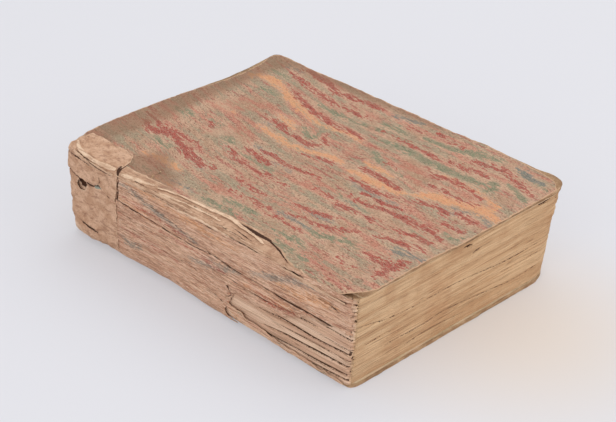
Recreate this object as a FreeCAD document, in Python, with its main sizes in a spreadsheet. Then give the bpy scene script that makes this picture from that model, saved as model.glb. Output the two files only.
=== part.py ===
import FreeCAD, Part
import math
import os
import Sketcher

# A worn, paper-covered antique book, lying closed on its back cover.
# X runs from the spine to the fore-edge, Y from tail to head, Z through the thickness.
# The origin is under the middle of the closed book, on the surface that it lies on.

# Driving dimensions in millimetres, and two counts, as they stand in the spreadsheet.
SIZES = [
    ("cover_height", 222.0, "front cover, tail to head"),
    ("cover_width", 161.0, "back of the spine to the fore-edge"),
    ("cover_paper", 0.25, "patterned paper on each cover, thickness"),
    ("board", 1.6, "pasteboard of each cover, thickness"),
    ("pastedown", 0.2, "paper pasted inside each cover, thickness"),
    ("cover_clearance", 0.3, "air between a pastedown and its flyleaf"),
    ("flyleaf", 0.2, "blank leaf at each end of the text, thickness"),
    ("gathering_count", 20, "folded gatherings of leaves"),
    ("gathering", 2.49, "one gathering, thickness"),
    ("fold_bulge", 0.45, "how far the fold of a gathering is rounded"),
    ("leaf_inset", 0.6, "how far the leaves stay inside the covers' edges"),
    ("ledge", 0.5, "most that one gathering stands in from the longest"),
    ("tail_lean", 4.5, "how far the book's underside is set in at the tail"),
    ("fore_hollow", 1.4, "hollow of the fore-edge at half thickness"),
    ("spine_round", 1.5, "rounding of the spine between its shoulders"),
    ("spine_paper", 0.4, "paper over the back of the spine, thickness"),
    ("spine_paper_short", 4.0, "head of the book to the worn end of that paper"),
    ("spine_paper_clearance", 0.15, "air between the folds and the spine paper"),
    ("front_shoulder_width", 5.0, "back of the spine to the front joint"),
    ("front_shoulder_depth", 5.0, "top of the book to the flat of the spine"),
    ("back_shoulder_width", 6.0, "back of the spine to the back joint"),
    ("back_shoulder_depth", 8.0, "underside to the flat of the spine"),
    ("joint_gap", 0.3, "a joint's line to the paper or board on each side"),
    ("joint_relief", 0.25, "how deep the spine paper's edge lies at a joint"),
    ("leaf_spine_head_radius", 8.0, "worn corner of the leaves"),
    ("leaf_spine_tail_radius", 4.0, "the same, at the spine's tail"),
    ("leaf_fore_head_radius", 4.0, "the same, at the fore-edge's head"),
    ("leaf_fore_tail_radius", 12.0, "the same, at the fore-edge's tail, top leaves"),
    ("leaf_fore_tail_wear", 7.0, "how much larger that radius is at the bottom"),
    ("cover_spine_head_radius", 8.0, "cover's corner beside the joint, at the head"),
    ("cover_spine_tail_radius", 1.5, "the same, at the tail"),
    ("cover_fore_head_radius", 4.0, "front cover's corner, fore-edge and head"),
    ("cover_fore_tail_radius", 12.0, "front cover's corner, fore-edge and tail"),
    ("back_fore_tail_radius", 19.0, "back cover's corner, fore-edge and tail"),
    ("patch_height", 43.0, "pasted patch round the head of the spine, along Y"),
    ("patch_width", 15.0, "the same, from the joint onto the front cover"),
    ("patch_clearance", 0.2, "patch to the patterned paper beside it"),
    ("cord_count", 3, "sewing cords"),
    ("cord", 1.8, "sewing cord, diameter"),
    ("cord_pitch", 58.0, "one sewing cord to the next"),
    ("thread", 0.8, "thread of the kettle stitches, diameter"),
    ("kettle_inset", 20.0, "kettle stitch to the end of the spine"),
    ("kerf_clearance", 0.1, "cord or thread to the saw cut that holds it"),
    ("slip_length", 16.0, "frayed end of a cord on a board, from the joint"),
    ("slip_root", 3.0, "the same, width at the joint"),
    ("slip_tip", 9.0, "the same, width at its end"),
    ("slip_thickness", 0.4, "the same, thickness"),
    ("slip_clearance", 0.1, "slip to the recess that holds it"),
    ("loss_length", 86.0, "bare stretch of the spine, from the tail"),
    ("loss_height", 33.0, "the same, height at the tail"),
    ("loss_height_far", 21.0, "the same, height at its far end"),
]

# Places that several pieces share, worked out from the sizes by the document itself.
PLACES = [
    ("x_fore", "Sizes.cover_width / 2"),
    ("x_spine", "-Sizes.cover_width / 2"),
    ("y_head", "Sizes.cover_height / 2"),
    ("y_tail", "-Sizes.cover_height / 2"),
    ("y_tail_low", "y_tail + Sizes.tail_lean"),
    ("cover", "Sizes.cover_paper + Sizes.board + Sizes.pastedown"),
    ("z_back_flyleaf", "cover + Sizes.cover_clearance"),
    ("z_leaves", "z_back_flyleaf + Sizes.flyleaf"),
    ("leaves", "Sizes.gathering_count * Sizes.gathering"),
    ("z_front_flyleaf", "z_leaves + leaves"),
    ("z_front_pastedown", "z_front_flyleaf + Sizes.flyleaf + Sizes.cover_clearance"),
    ("z_front_board", "z_front_pastedown + Sizes.pastedown"),
    ("z_front_paper", "z_front_board + Sizes.board"),
    ("z_top", "z_front_paper + Sizes.cover_paper"),
    ("x_front_joint", "x_spine + Sizes.front_shoulder_width"),
    ("x_back_joint", "x_spine + Sizes.back_shoulder_width"),
    ("y_patch", "y_head - Sizes.patch_height"),
    ("fold_inset", "Sizes.spine_paper + Sizes.spine_paper_clearance"),
    ("x_fold", "x_spine + Sizes.spine_round + fold_inset + Sizes.fold_bulge"),
    ("x_cord", "x_fold + Sizes.kerf_clearance + Sizes.cord / 2"),
    ("x_thread", "x_fold + Sizes.kerf_clearance + Sizes.thread / 2"),
]

X_AXIS = FreeCAD.Vector(1, 0, 0)
Y_AXIS = FreeCAD.Vector(0, 1, 0)
Z_AXIS = FreeCAD.Vector(0, 0, 1)
DIAGONAL = math.sqrt(0.5)
# How far helper solids run past the piece that they trim.
MARGIN = 5.0
# Steps that scatter the gatherings' ends without repeating.
SCATTER = (0.618, 0.382, 0.755)

doc = FreeCAD.newDocument("antique_book")
sheet = doc.addObject("Spreadsheet::Sheet", "Sizes")
for row, (alias, value, note) in enumerate(SIZES, start=1):
    sheet.set("A%d" % row, str(value))
    sheet.setAlias("A%d" % row, alias)
    sheet.set("B%d" % row, note)
doc.recompute()
places = doc.addObject("App::VarSet", "Places")
for name, formula in PLACES:
    places.addProperty("App::PropertyFloat", name)
    places.setExpression(name, formula)
doc.recompute()


def size(alias):
    return float(sheet.get(alias))


def place(name):
    return getattr(places, name)


def bind(thing, expressions):
    for prop, formula in expressions.items():
        thing.setExpression(prop, formula)
    return thing


def feature(name, shape):
    thing = doc.addObject("Part::Feature", name)
    thing.Shape = shape
    return thing


def box(name, expressions):
    return bind(doc.addObject("Part::Box", name), expressions)


def cut(name, base, tool):
    thing = doc.addObject("Part::Cut", name)
    thing.Base = base
    thing.Tool = tool
    thing.Refine = True
    return thing


def common(name, base, tool):
    thing = doc.addObject("Part::Common", name)
    thing.Base = base
    thing.Tool = tool
    return thing


def fusion(name, shapes):
    thing = doc.addObject("Part::MultiFuse", name)
    thing.Shapes = shapes
    return thing


# Outline of a cover or a leaf: four sides and four corner arcs, counted from the tail side.
def outline_geometry(x0, x1, y0, y1, radii):
    tail_spine, tail_fore, head_fore, head_spine = radii
    vector = FreeCAD.Vector
    sides = [
        Part.LineSegment(vector(x0 + tail_spine, y0, 0), vector(x1 - tail_fore, y0, 0)),
        Part.LineSegment(vector(x1, y0 + tail_fore, 0), vector(x1, y1 - head_fore, 0)),
        Part.LineSegment(vector(x1 - head_fore, y1, 0), vector(x0 + head_spine, y1, 0)),
        Part.LineSegment(vector(x0, y1 - head_spine, 0), vector(x0, y0 + tail_spine, 0)),
    ]
    centres = [
        (vector(x1 - tail_fore, y0 + tail_fore, 0), tail_fore, -90),
        (vector(x1 - head_fore, y1 - head_fore, 0), head_fore, 0),
        (vector(x0 + head_spine, y1 - head_spine, 0), head_spine, 90),
        (vector(x0 + tail_spine, y0 + tail_spine, 0), tail_spine, 180),
    ]
    arcs = []
    for centre, radius, start in centres:
        circle = Part.Circle(centre, Z_AXIS, radius)
        arcs.append(Part.ArcOfCircle(circle, math.radians(start), math.radians(start + 90)))
    return sides, arcs


def outline_face(x0, x1, y0, y1, radii):
    sides, arcs = outline_geometry(x0, x1, y0, y1, radii)
    edges = []
    for side, arc in zip(sides, arcs):
        edges += [side.toShape(), arc.toShape()]
    return Part.Face(Part.Wire(edges))


def outline_sketch(body, offset_z, x_joint, sides_in, y_tail, radii):
    """The outline as a sketch on the body's XY plane, each side and radius bound to its formula."""
    sketch = body.newObject("Sketcher::SketchObject", body.Name + "_outline")
    plane = next(item for item in body.Origin.OriginFeatures if item.Role == "XY_Plane")
    sketch.AttachmentSupport = [(plane, "")]
    sketch.MapMode = "FlatFace"
    sketch.setExpression("AttachmentOffset.Base.z", offset_z)
    inset = size(sides_in) if sides_in else 0.0
    sides, arcs = outline_geometry(
        place(x_joint) + size("joint_gap"),
        place("x_fore") - inset,
        place(y_tail) + inset,
        place("y_head") - inset,
        [size(radius) for radius in radii],
    )
    for side, arc in zip(sides, arcs):
        sketch.addGeometry([side, arc], False)
    for index in range(4):
        line, arc, following = 2 * index, 2 * index + 1, (2 * index + 2) % 8
        sketch.addConstraint(Sketcher.Constraint("Tangent", line, 2, arc, 1))
        sketch.addConstraint(Sketcher.Constraint("Tangent", arc, 2, following, 1))
        direction = "Horizontal" if index % 2 == 0 else "Vertical"
        sketch.addConstraint(Sketcher.Constraint(direction, line))
    radius_order = [1, 2, 3, 0]
    for index, which in enumerate(radius_order):
        number = sketch.addConstraint(Sketcher.Constraint("Radius", 2 * index + 1, size(radii[which])))
        sketch.setExpression("Constraints[%d]" % number, "Sizes." + radii[which])
    inset_term = " - Sizes." + sides_in if sides_in else ""
    distances = [
        ("DistanceY", (0, 1, -1, 1), "-Places.%s%s" % (y_tail, inset_term), -sides[0].StartPoint.y),
        ("DistanceX", (-1, 1, 2, 1), "Places.x_fore" + inset_term, sides[1].StartPoint.x),
        ("DistanceY", (-1, 1, 4, 1), "Places.y_head" + inset_term, sides[2].StartPoint.y),
        ("DistanceX", (6, 1, -1, 1), "-Places.%s - Sizes.joint_gap" % x_joint, -sides[3].StartPoint.x),
    ]
    for kind, ends, formula, value in distances:
        number = sketch.addConstraint(Sketcher.Constraint(kind, *ends, value))
        sketch.setExpression("Constraints[%d]" % number, formula)
    return sketch


def plate(name, z_formula, thickness_formula, x_joint, sides_in, y_tail, radii):
    """A flat sheet or board with rounded corners, from the joint to the fore-edge."""
    body = doc.addObject("PartDesign::Body", name)
    sketch = outline_sketch(body, z_formula, x_joint, sides_in, y_tail, radii)
    doc.recompute()
    pad = body.newObject("PartDesign::Pad", name + "_pad")
    pad.Profile = sketch
    pad.setExpression("Length", thickness_formula)
    return body


# The spine's cross-section: two shoulders and the back between them.
def spine_arcs(inset):
    """Arcs in the XZ plane from the back joint up to the front joint, moved inwards."""
    z_low = size("back_shoulder_depth")
    z_high = place("z_top") - size("front_shoulder_depth")
    back_end = (place("x_back_joint"), size("joint_relief") + inset, size("back_shoulder_width"))
    front_end = (
        place("x_front_joint"),
        place("z_top") - size("joint_relief") - inset,
        size("front_shoulder_width"),
    )
    shoulders = []
    for (x_joint, z_end, width), z_flat in ((back_end, z_low), (front_end, z_high)):
        x_end = x_joint - size("joint_gap")
        reach = width - size("joint_gap") - size("spine_round") - inset
        rise = z_end - z_flat
        shoulders.append((
            FreeCAD.Vector(x_end, 0, z_end),
            FreeCAD.Vector(x_end - reach * DIAGONAL, 0, z_flat + rise * DIAGONAL),
            FreeCAD.Vector(x_end - reach, 0, z_flat),
        ))
    low, high = shoulders
    summit = FreeCAD.Vector(place("x_spine") + inset, 0, (z_low + z_high) / 2)
    return [Part.Arc(*low), Part.Arc(low[2], summit, high[2]), Part.Arc(high[2], high[1], high[0])]


def spine_x(z, inset):
    """Where the cross-section, moved inwards, stands at one height."""
    low, middle, high = spine_arcs(inset)
    arc = middle
    if z < size("back_shoulder_depth"):
        arc = low
    elif z > place("z_top") - size("front_shoulder_depth"):
        arc = high
    circle = arc.toShape().Curve
    rise = min(abs(z - circle.Center.z), circle.Radius)
    return circle.Center.x - math.sqrt(circle.Radius**2 - rise**2)


def spine_band():
    """The paper over the spine, before its losses: the cross-section run from tail to head."""
    outer = [arc.toShape() for arc in spine_arcs(0.0)]
    inner = [arc.toShape() for arc in spine_arcs(size("spine_paper"))]
    ends = []
    for index, vertex in ((0, 0), (-1, -1)):
        start = outer[index].Vertexes[vertex].Point
        end = inner[index].Vertexes[vertex].Point
        ends.append(Part.makeLine(start, end))
    wire = Part.Wire(Part.sortEdges(outer + inner + ends)[0])
    band = Part.Face(wire).extrude(Y_AXIS * (size("cover_height") - size("spine_paper_short")))
    band.translate(Y_AXIS * place("y_tail"))
    return band


def yz_prism(points):
    """A prism along X, past both sides of the spine, through points given as (y, z)."""
    x = place("x_spine") - MARGIN
    wire = Part.makePolygon([FreeCAD.Vector(x, y, z) for y, z in points + points[:1]])
    return Part.Face(wire).extrude(X_AXIS * (size("back_shoulder_width") + 2 * MARGIN))


# Leaves: folded gatherings, stacked and sewn.
def gathering_shape(index):
    """One gathering: a slab with a rounded fold at the spine and worn corners."""
    z0 = place("z_leaves") + index * size("gathering")
    z1 = z0 + size("gathering")
    z_fold = z0 + size("gathering") / 2
    height = (z_fold - place("z_leaves")) / place("leaves")
    bulge = size("fold_bulge")
    inset = place("fold_inset")
    x_back = max(
        spine_x(z0, inset) - bulge,
        spine_x(z_fold, inset),
        spine_x(z1, inset) - bulge,
    )
    spare = [size("ledge") * ((index + 1) * step % 1.0) for step in SCATTER]
    hollow = size("fore_hollow") * math.sin(math.pi * height)
    x_fore = place("x_fore") - size("leaf_inset") - spare[0] - hollow
    lean = size("tail_lean") * (1.0 - height)
    y_tail = place("y_tail") + size("leaf_inset") + spare[1] + lean
    y_head = place("y_head") - size("leaf_inset") - spare[2]
    fold = Part.Arc(
        FreeCAD.Vector(x_back + bulge, 0, z0),
        FreeCAD.Vector(x_back, 0, z_fold),
        FreeCAD.Vector(x_back + bulge, 0, z1),
    )
    corners = [fold.EndPoint, FreeCAD.Vector(x_fore, 0, z1), FreeCAD.Vector(x_fore, 0, z0), fold.StartPoint]
    edges = [fold.toShape()]
    edges += [Part.makeLine(a, b) for a, b in zip(corners, corners[1:])]
    slab = Part.Face(Part.Wire(edges)).extrude(Y_AXIS * (y_head - y_tail))
    slab.translate(Y_AXIS * y_tail)
    radii = [
        size("leaf_spine_tail_radius"),
        size("leaf_fore_tail_radius") + size("leaf_fore_tail_wear") * (1.0 - height),
        size("leaf_fore_head_radius"),
        size("leaf_spine_head_radius"),
    ]
    plan = outline_face(x_back, x_fore, y_tail, y_head, radii)
    plan.translate(Z_AXIS * z0)
    return slab.common(plan.extrude(Z_AXIS * (z1 - z0)))


def cord_middles():
    count = int(size("cord_count"))
    return ["%s * Sizes.cord_pitch" % (index - (count - 1) / 2) for index in range(count)]


def kerf(name, middle, diameter):
    """A saw cut across the folds, for a cord or thread to lie in."""
    reach = "Places.x_fold - Places.x_spine + Sizes.%s + 2 * Sizes.kerf_clearance" % diameter
    return box(name, {
        "Length": reach + " + %s" % MARGIN,
        "Width": "Sizes.%s + 2 * Sizes.kerf_clearance" % diameter,
        "Height": "Places.leaves + %s" % (2 * MARGIN),
        "Placement.Base.x": "Places.x_spine - %s" % MARGIN,
        "Placement.Base.y": "%s - Sizes.%s / 2 - Sizes.kerf_clearance" % (middle, diameter),
        "Placement.Base.z": "Places.z_leaves - %s" % MARGIN,
    })


def sewing(name, middle, diameter, x_formula):
    """A cord or thread, standing in its saw cut from the second gathering to the last but one."""
    thing = doc.addObject("Part::Cylinder", name)
    return bind(thing, {
        "Radius": "Sizes.%s / 2" % diameter,
        "Height": "Places.leaves - 2 * Sizes.gathering",
        "Placement.Base.x": x_formula,
        "Placement.Base.y": middle,
        "Placement.Base.z": "Places.z_leaves + Sizes.gathering",
    })


def kettle_middles():
    return {
        "kettle_stitch_head": "Places.y_head - Sizes.kettle_inset",
        "kettle_stitch_tail": "Places.y_tail_low + Sizes.kettle_inset",
    }


def make_text_block():
    gatherings = []
    for index in range(int(size("gathering_count"))):
        gatherings.append(feature("gathering_%02d" % (index + 1), gathering_shape(index)))
    stack = fusion("stacked_gatherings", gatherings)
    cuts = []
    for index, middle in enumerate(cord_middles()):
        cuts.append(kerf("cord_kerf_%d" % (index + 1), middle, "cord"))
    for name, middle in kettle_middles().items():
        cuts.append(kerf(name + "_kerf", middle, "thread"))
    return cut("text_block", stack, fusion("kerfs", cuts))


def make_sewing():
    pieces = []
    for index, middle in enumerate(cord_middles()):
        pieces.append(sewing("sewing_cord_%d" % (index + 1), middle, "cord", "Places.x_cord"))
    for name, middle in kettle_middles().items():
        pieces.append(sewing(name, middle, "thread", "Places.x_thread"))
    return pieces


def slips(name, x_joint, z_formula, clearance_formula, height_formula):
    """Frayed cord ends fanned out on a board, one trapezium for each cord."""
    fans = []
    for index, middle in enumerate(cord_middles()):
        fan = doc.addObject("Part::Wedge", "%s_%d" % (name, index + 1))
        fan.Placement = FreeCAD.Placement(FreeCAD.Vector(), FreeCAD.Rotation(Z_AXIS, -90))
        bind(fan, {
            "Xmin": "-Sizes.slip_root / 2 - " + clearance_formula,
            "Xmax": "Sizes.slip_root / 2 + " + clearance_formula,
            "X2min": "-Sizes.slip_tip / 2 - " + clearance_formula,
            "X2max": "Sizes.slip_tip / 2 + " + clearance_formula,
            "Ymin": NO_CLEARANCE,
            "Ymax": "Sizes.slip_length - Sizes.joint_gap + " + clearance_formula,
            "Zmin": NO_CLEARANCE,
            "Zmax": height_formula,
            "Z2min": NO_CLEARANCE,
            "Z2max": height_formula,
            "Placement.Base.x": "Places.%s + Sizes.joint_gap" % x_joint,
            "Placement.Base.y": middle,
            "Placement.Base.z": z_formula,
        })
        fans.append(fan)
    return fusion(name, fans)


# Formulas for what is nought in one use of a function and a size in another.
NO_CLEARANCE = "0 * Sizes.slip_clearance"
ON_THE_GROUND = "0 * Sizes.cover_paper"
COVER_RADII = (
    "cover_spine_tail_radius",
    "cover_fore_tail_radius",
    "cover_fore_head_radius",
    "cover_spine_head_radius",
)
BACK_RADII = (
    "cover_spine_tail_radius",
    "back_fore_tail_radius",
    "cover_fore_head_radius",
    "cover_spine_head_radius",
)
LEAF_RADII = (
    "leaf_spine_tail_radius",
    "leaf_fore_tail_radius",
    "leaf_fore_head_radius",
    "leaf_spine_head_radius",
)


def patch_box(name, clearance_formula):
    """The place of the pasted patch on the front cover, from the joint inwards."""
    return box(name, {
        "Length": "Sizes.patch_width + %s - %s" % (MARGIN, clearance_formula),
        "Width": "Sizes.patch_height + %s - %s" % (MARGIN, clearance_formula),
        "Height": "Sizes.cover_paper + %s" % (2 * MARGIN),
        "Placement.Base.x": "Places.x_front_joint - %s" % MARGIN,
        "Placement.Base.y": "Places.y_patch + " + clearance_formula,
        "Placement.Base.z": "Places.z_front_paper - %s" % MARGIN,
    })


def make_front_cover():
    joint, tail = "x_front_joint", "y_tail"
    z_board = "Places.z_front_board"
    board_plate = plate("front_board_plate", z_board, "Sizes.board", joint, None, tail, COVER_RADII)
    recesses = slips(
        "front_recesses",
        joint,
        z_board,
        "Sizes.slip_clearance",
        "Sizes.slip_thickness + Sizes.slip_clearance",
    )
    board = cut("front_board", board_plate, recesses)
    slip = slips("front_slips", joint, z_board, NO_CLEARANCE, "Sizes.slip_thickness")
    pastedown = plate(
        "front_pastedown", "Places.z_front_pastedown", "Sizes.pastedown", joint, "leaf_inset", tail, LEAF_RADII
    )
    sheet_plate = plate(
        "front_paper_plate", "Places.z_front_paper", "Sizes.cover_paper", joint, None, tail, COVER_RADII
    )
    paper = cut("front_cover_paper", sheet_plate, patch_box("front_patch_place", NO_CLEARANCE))
    patch = common("front_patch", sheet_plate, patch_box("front_patch_trim", "Sizes.patch_clearance"))
    return [board, slip, pastedown, paper, patch]


def make_back_cover():
    joint, tail = "x_back_joint", "y_tail_low"
    z_inside = "Sizes.cover_paper + Sizes.board"
    paper = plate("back_cover_paper", ON_THE_GROUND, "Sizes.cover_paper", joint, None, tail, BACK_RADII)
    board_plate = plate("back_board_plate", "Sizes.cover_paper", "Sizes.board", joint, None, tail, BACK_RADII)
    recesses = slips(
        "back_recesses",
        joint,
        z_inside + " - Sizes.slip_thickness - Sizes.slip_clearance",
        "Sizes.slip_clearance",
        "Sizes.slip_thickness + Sizes.slip_clearance",
    )
    board = cut("back_board", board_plate, recesses)
    slip = slips(
        "back_slips", joint, z_inside + " - Sizes.slip_thickness", NO_CLEARANCE, "Sizes.slip_thickness"
    )
    pastedown = plate("back_pastedown", z_inside, "Sizes.pastedown", joint, "leaf_inset", tail, BACK_RADII)
    return [paper, board, slip, pastedown]


def make_flyleaves():
    front = plate(
        "front_flyleaf",
        "Places.z_front_flyleaf",
        "Sizes.flyleaf",
        "x_front_joint",
        "leaf_inset",
        "y_tail",
        LEAF_RADII,
    )
    back = plate(
        "back_flyleaf",
        "Places.z_back_flyleaf",
        "Sizes.flyleaf",
        "x_back_joint",
        "leaf_inset",
        "y_tail_low",
        BACK_RADII,
    )
    return [front, back]


def make_spine_paper():
    """Paper over the spine: a patch at the head, patterned paper below it, bare at the lower tail."""
    band = feature("spine_band", spine_band())
    y_tail, y_low = place("y_tail"), place("y_tail_low")
    under, over = -MARGIN, place("z_top") + MARGIN
    slope = size("tail_lean") / place("z_top")
    lean = [
        (y_tail - MARGIN, under),
        (y_low - slope * under, under),
        (y_tail - slope * MARGIN, over),
        (y_tail - MARGIN, over),
    ]
    loss = [
        (y_tail - MARGIN, under),
        (y_low + size("loss_length") - MARGIN, under),
        (y_low + size("loss_length"), size("loss_height_far") / 2),
        (y_low + size("loss_length") - MARGIN, size("loss_height_far")),
        (y_low, size("loss_height")),
        (y_tail - MARGIN, size("loss_height")),
    ]
    below_patch = [
        (y_tail - MARGIN, under),
        (place("y_patch"), under),
        (place("y_patch"), over),
        (y_tail - MARGIN, over),
    ]
    y_edge = place("y_patch") + size("patch_clearance")
    above_patch = [
        (y_edge, under),
        (place("y_head") + MARGIN, under),
        (place("y_head") + MARGIN, over),
        (y_edge, over),
    ]
    trimmed = cut("spine_band_leaning", band, feature("tail_slope", yz_prism(lean)))
    lower = common("spine_paper_lower", trimmed, feature("below_patch", yz_prism(below_patch)))
    paper = cut("spine_cover", lower, feature("spine_loss", yz_prism(loss)))
    patch = common("spine_patch", trimmed, feature("above_patch", yz_prism(above_patch)))
    return [paper, patch]


def write_nodes(nodes):
    doc.recompute()
    for item in doc.Objects:
        if "Invalid" in item.State or "Error" in item.State:
            raise RuntimeError("%s did not compute: %s" % (item.Name, item.State))
    for node in nodes:
        if node.Shape.isNull() or not node.Shape.isValid() or not node.Shape.Solids:
            raise RuntimeError("%s has no valid solid" % node.Name)
    os.makedirs("parts", exist_ok=True)
    for node in nodes:
        node.Label = node.Name
        node.Shape.exportStep("parts/%s.step" % node.Label)


NODES = [make_text_block()]
NODES += make_sewing()
NODES += make_flyleaves()
NODES += make_spine_paper()
NODES += make_front_cover()
NODES += make_back_cover()
write_nodes(NODES)
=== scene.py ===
import math

import bpy
import numpy as np
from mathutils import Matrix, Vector


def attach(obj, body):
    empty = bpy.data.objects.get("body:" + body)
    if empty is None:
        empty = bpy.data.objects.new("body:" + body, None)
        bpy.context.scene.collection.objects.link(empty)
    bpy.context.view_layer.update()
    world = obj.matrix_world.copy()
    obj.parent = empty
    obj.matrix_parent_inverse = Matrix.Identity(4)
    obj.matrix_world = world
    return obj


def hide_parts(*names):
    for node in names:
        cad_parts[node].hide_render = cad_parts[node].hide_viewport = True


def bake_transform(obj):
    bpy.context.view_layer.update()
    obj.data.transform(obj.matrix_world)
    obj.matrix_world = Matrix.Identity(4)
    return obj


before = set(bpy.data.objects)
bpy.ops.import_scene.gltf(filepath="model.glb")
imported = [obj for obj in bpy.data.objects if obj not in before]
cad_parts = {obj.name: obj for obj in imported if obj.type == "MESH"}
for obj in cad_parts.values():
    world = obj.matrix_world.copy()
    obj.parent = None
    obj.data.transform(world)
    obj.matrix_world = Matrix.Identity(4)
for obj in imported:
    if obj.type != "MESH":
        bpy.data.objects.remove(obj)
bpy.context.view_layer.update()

MM = 0.001

# Sizes in millimetres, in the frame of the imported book.
X_JOINT, X_SPINE = -75.2, -80.5
Z_TOP = 54.9
FRONT_SHOULDER = 3.2
LEAVES_LOW, LEAVES_HIGH = 2.55, 52.35
GATHERINGS = 20
GATHERING = (LEAVES_HIGH - LEAVES_LOW) / GATHERINGS

# Stand-ins for a distance that is too large to matter, and for one that is too small.
FAR, CLEAR, TINY = 50.0, 9.0, 1e-9


# Noise on a lattice, the same on each run.
def lattice(ix, iy, seed):
    h = (ix.astype(np.int64) * 374761393 + iy.astype(np.int64) * 668265263 + seed * 144269504) & 0xFFFFFFFF
    h = ((h ^ (h >> 13)) * 1274126177) & 0xFFFFFFFF
    return ((h ^ (h >> 16)) & 0xFFFF) / 32767.5 - 1.0


def noise(x, y, seed):
    x, y = np.broadcast_arrays(np.asarray(x, float), np.asarray(y, float))
    ix, iy = np.floor(x), np.floor(y)
    fx, fy = x - ix, y - iy
    sx, sy = fx * fx * (3 - 2 * fx), fy * fy * (3 - 2 * fy)
    low = lattice(ix, iy, seed) * (1 - sx) + lattice(ix + 1, iy, seed) * sx
    high = lattice(ix, iy + 1, seed) * (1 - sx) + lattice(ix + 1, iy + 1, seed) * sx
    return low * (1 - sy) + high * sy


def fbm(x, y, seed, octaves=3):
    total, weight = 0.0, 1.0
    for octave in range(octaves):
        total = total + weight * noise(np.asarray(x) * 2**octave, np.asarray(y) * 2**octave, seed + octave)
        weight *= 0.5
    return total


def smooth(edge_low, edge_high, value):
    t = np.clip((value - edge_low) / (edge_high - edge_low), 0, 1)
    return t * t * (3 - 2 * t)


def bump(value, middle, width):
    return np.exp(-(((value - middle) / width) ** 2))


def table(value, *pairs):
    """A curve through points given as (place, value), in rising order of place."""
    places, values = zip(*pairs)
    return np.interp(value, places, values)


def catmull(points, steps):
    """Points on a smooth curve through the given ones, which may carry a width as a third number."""
    p = np.array(points, float)
    if len(p) < 3:
        return p
    ext = np.vstack([2 * p[0] - p[1], p, 2 * p[-1] - p[-2]])
    out = []
    for i in range(len(p) - 1):
        a, b, c, d = ext[i : i + 4]
        for t in np.arange(steps) / steps:
            bend = (2 * a - 5 * b + 4 * c - d) * t**2 + (3 * b - a - 3 * c + d) * t**3
            out.append(0.5 * (2 * b + (c - a) * t + bend))
    out.append(p[-1])
    return np.array(out)


def to_segment(px, py, x0, y0, x1, y1):
    """Where the foot of each point lies on a segment, from 0 to 1, and how far the point is from it."""
    dx, dy = x1 - x0, y1 - y0
    t = np.clip(((px - x0) * dx + (py - y0) * dy) / (dx * dx + dy * dy), 0, 1)
    return t, np.hypot(px - x0 - t * dx, py - y0 - t * dy)


def distance(px, py, lines, steps=4):
    """Signed distance to the nearest of the lines, each a list of (x, y, half width)."""
    best = np.full(np.shape(px), FAR)
    for line in lines:
        curve = catmull(line, steps)
        for (x0, y0, w0), (x1, y1, w1) in zip(curve, curve[1:]):
            if max(abs(x1 - x0), abs(y1 - y0)) > TINY:
                t, gap = to_segment(px, py, x0, y0, x1, y1)
                best = np.minimum(best, gap - (w0 + t * (w1 - w0)))
    return best


def rim_distance(px, py, outline, skip=None):
    """Distance to an outline, without its stretches at the y that skip picks out."""
    best = np.full(px.shape, FAR)
    outline = np.asarray(outline)
    for (x0, y0), (x1, y1) in zip(outline, np.roll(outline, -1, axis=0)):
        skipped = skip is not None and skip((y0 + y1) / 2)
        if not skipped and max(abs(x1 - x0), abs(y1 - y0)) > TINY:
            best = np.minimum(best, to_segment(px, py, x0, y0, x1, y1)[1])
    return best


def tapered(points, width, tip):
    """A line with a half width, thinned at both ends to a share of it."""
    last = len(points) - 1
    return [(x, y, width * (tip if i in (0, last) else 1.0)) for i, (x, y) in enumerate(points)]


# How thin strokes of colour and cracks are at their ends, as a share of their width.
STROKE_TIP, CRACK_TIP = 0.35, 0.45


def strokes(entries, share=1.0):
    """Strokes given as (half width, points), with their widths scaled by share."""
    return [tapered(points, share * width, STROKE_TIP) for width, points in entries]


# Meshes.
def make_piece(name, points, faces, material, attributes):
    mesh = bpy.data.meshes.new(name)
    points = np.array(points, float)
    points[:, 2] = np.maximum(points[:, 2], 0.0)
    mesh.from_pydata((points * MM).tolist(), [], [tuple(f) for f in faces])
    for key, values in attributes.items():
        values = np.asarray(values, np.float32)
        kind = "FLOAT_VECTOR" if values.ndim == 2 else "FLOAT"
        layer = mesh.attributes.new(key, kind, "POINT")
        layer.data.foreach_set("vector" if values.ndim == 2 else "value", values.ravel())
    mesh.materials.append(material)
    mesh.polygons.foreach_set("use_smooth", [True] * len(mesh.polygons))
    mesh.update()
    obj = bpy.data.objects.new(name, mesh)
    bpy.context.scene.collection.objects.link(obj)
    return obj


def inside(px, py, outline):
    hit = np.zeros(px.shape, bool)
    ends = np.roll(outline, -1, axis=0)
    for (x0, y0), (x1, y1) in zip(outline, ends):
        if y0 == y1:
            continue
        crosses = (y0 > py) != (y1 > py)
        hit ^= crosses & (px < (x1 - x0) * (py - y0) / (y1 - y0) + x0)
    return hit


def firm_cells(keep):
    """Drops the cells that hang on by one side, and fills in beside those that meet only at a corner."""
    for _ in range(3):
        beside = np.zeros_like(keep, int)
        beside[1:] += keep[:-1]
        beside[:-1] += keep[1:]
        beside[:, 1:] += keep[:, :-1]
        beside[:, :-1] += keep[:, 1:]
        keep &= beside >= 2
        near, far, right, left = keep[:-1, :-1], keep[1:, 1:], keep[1:, :-1], keep[:-1, 1:]
        right |= near & far & ~right & ~left
        near |= right & left & ~near & ~far


def snapped(points, borders):
    """The points moved to the nearest place on the borders."""
    best = np.full(len(points), np.inf)
    target = points.copy()
    for border in borders:
        for a, b in zip(border, np.roll(border, -1, axis=0)):
            if np.abs(b - a).max() < TINY:
                continue
            t, gap = to_segment(points[:, 0], points[:, 1], *a, *b)
            closer = gap < best
            best[closer] = gap[closer]
            target[closer] = (a + t[:, None] * (b - a))[closer]
    return target


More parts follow.
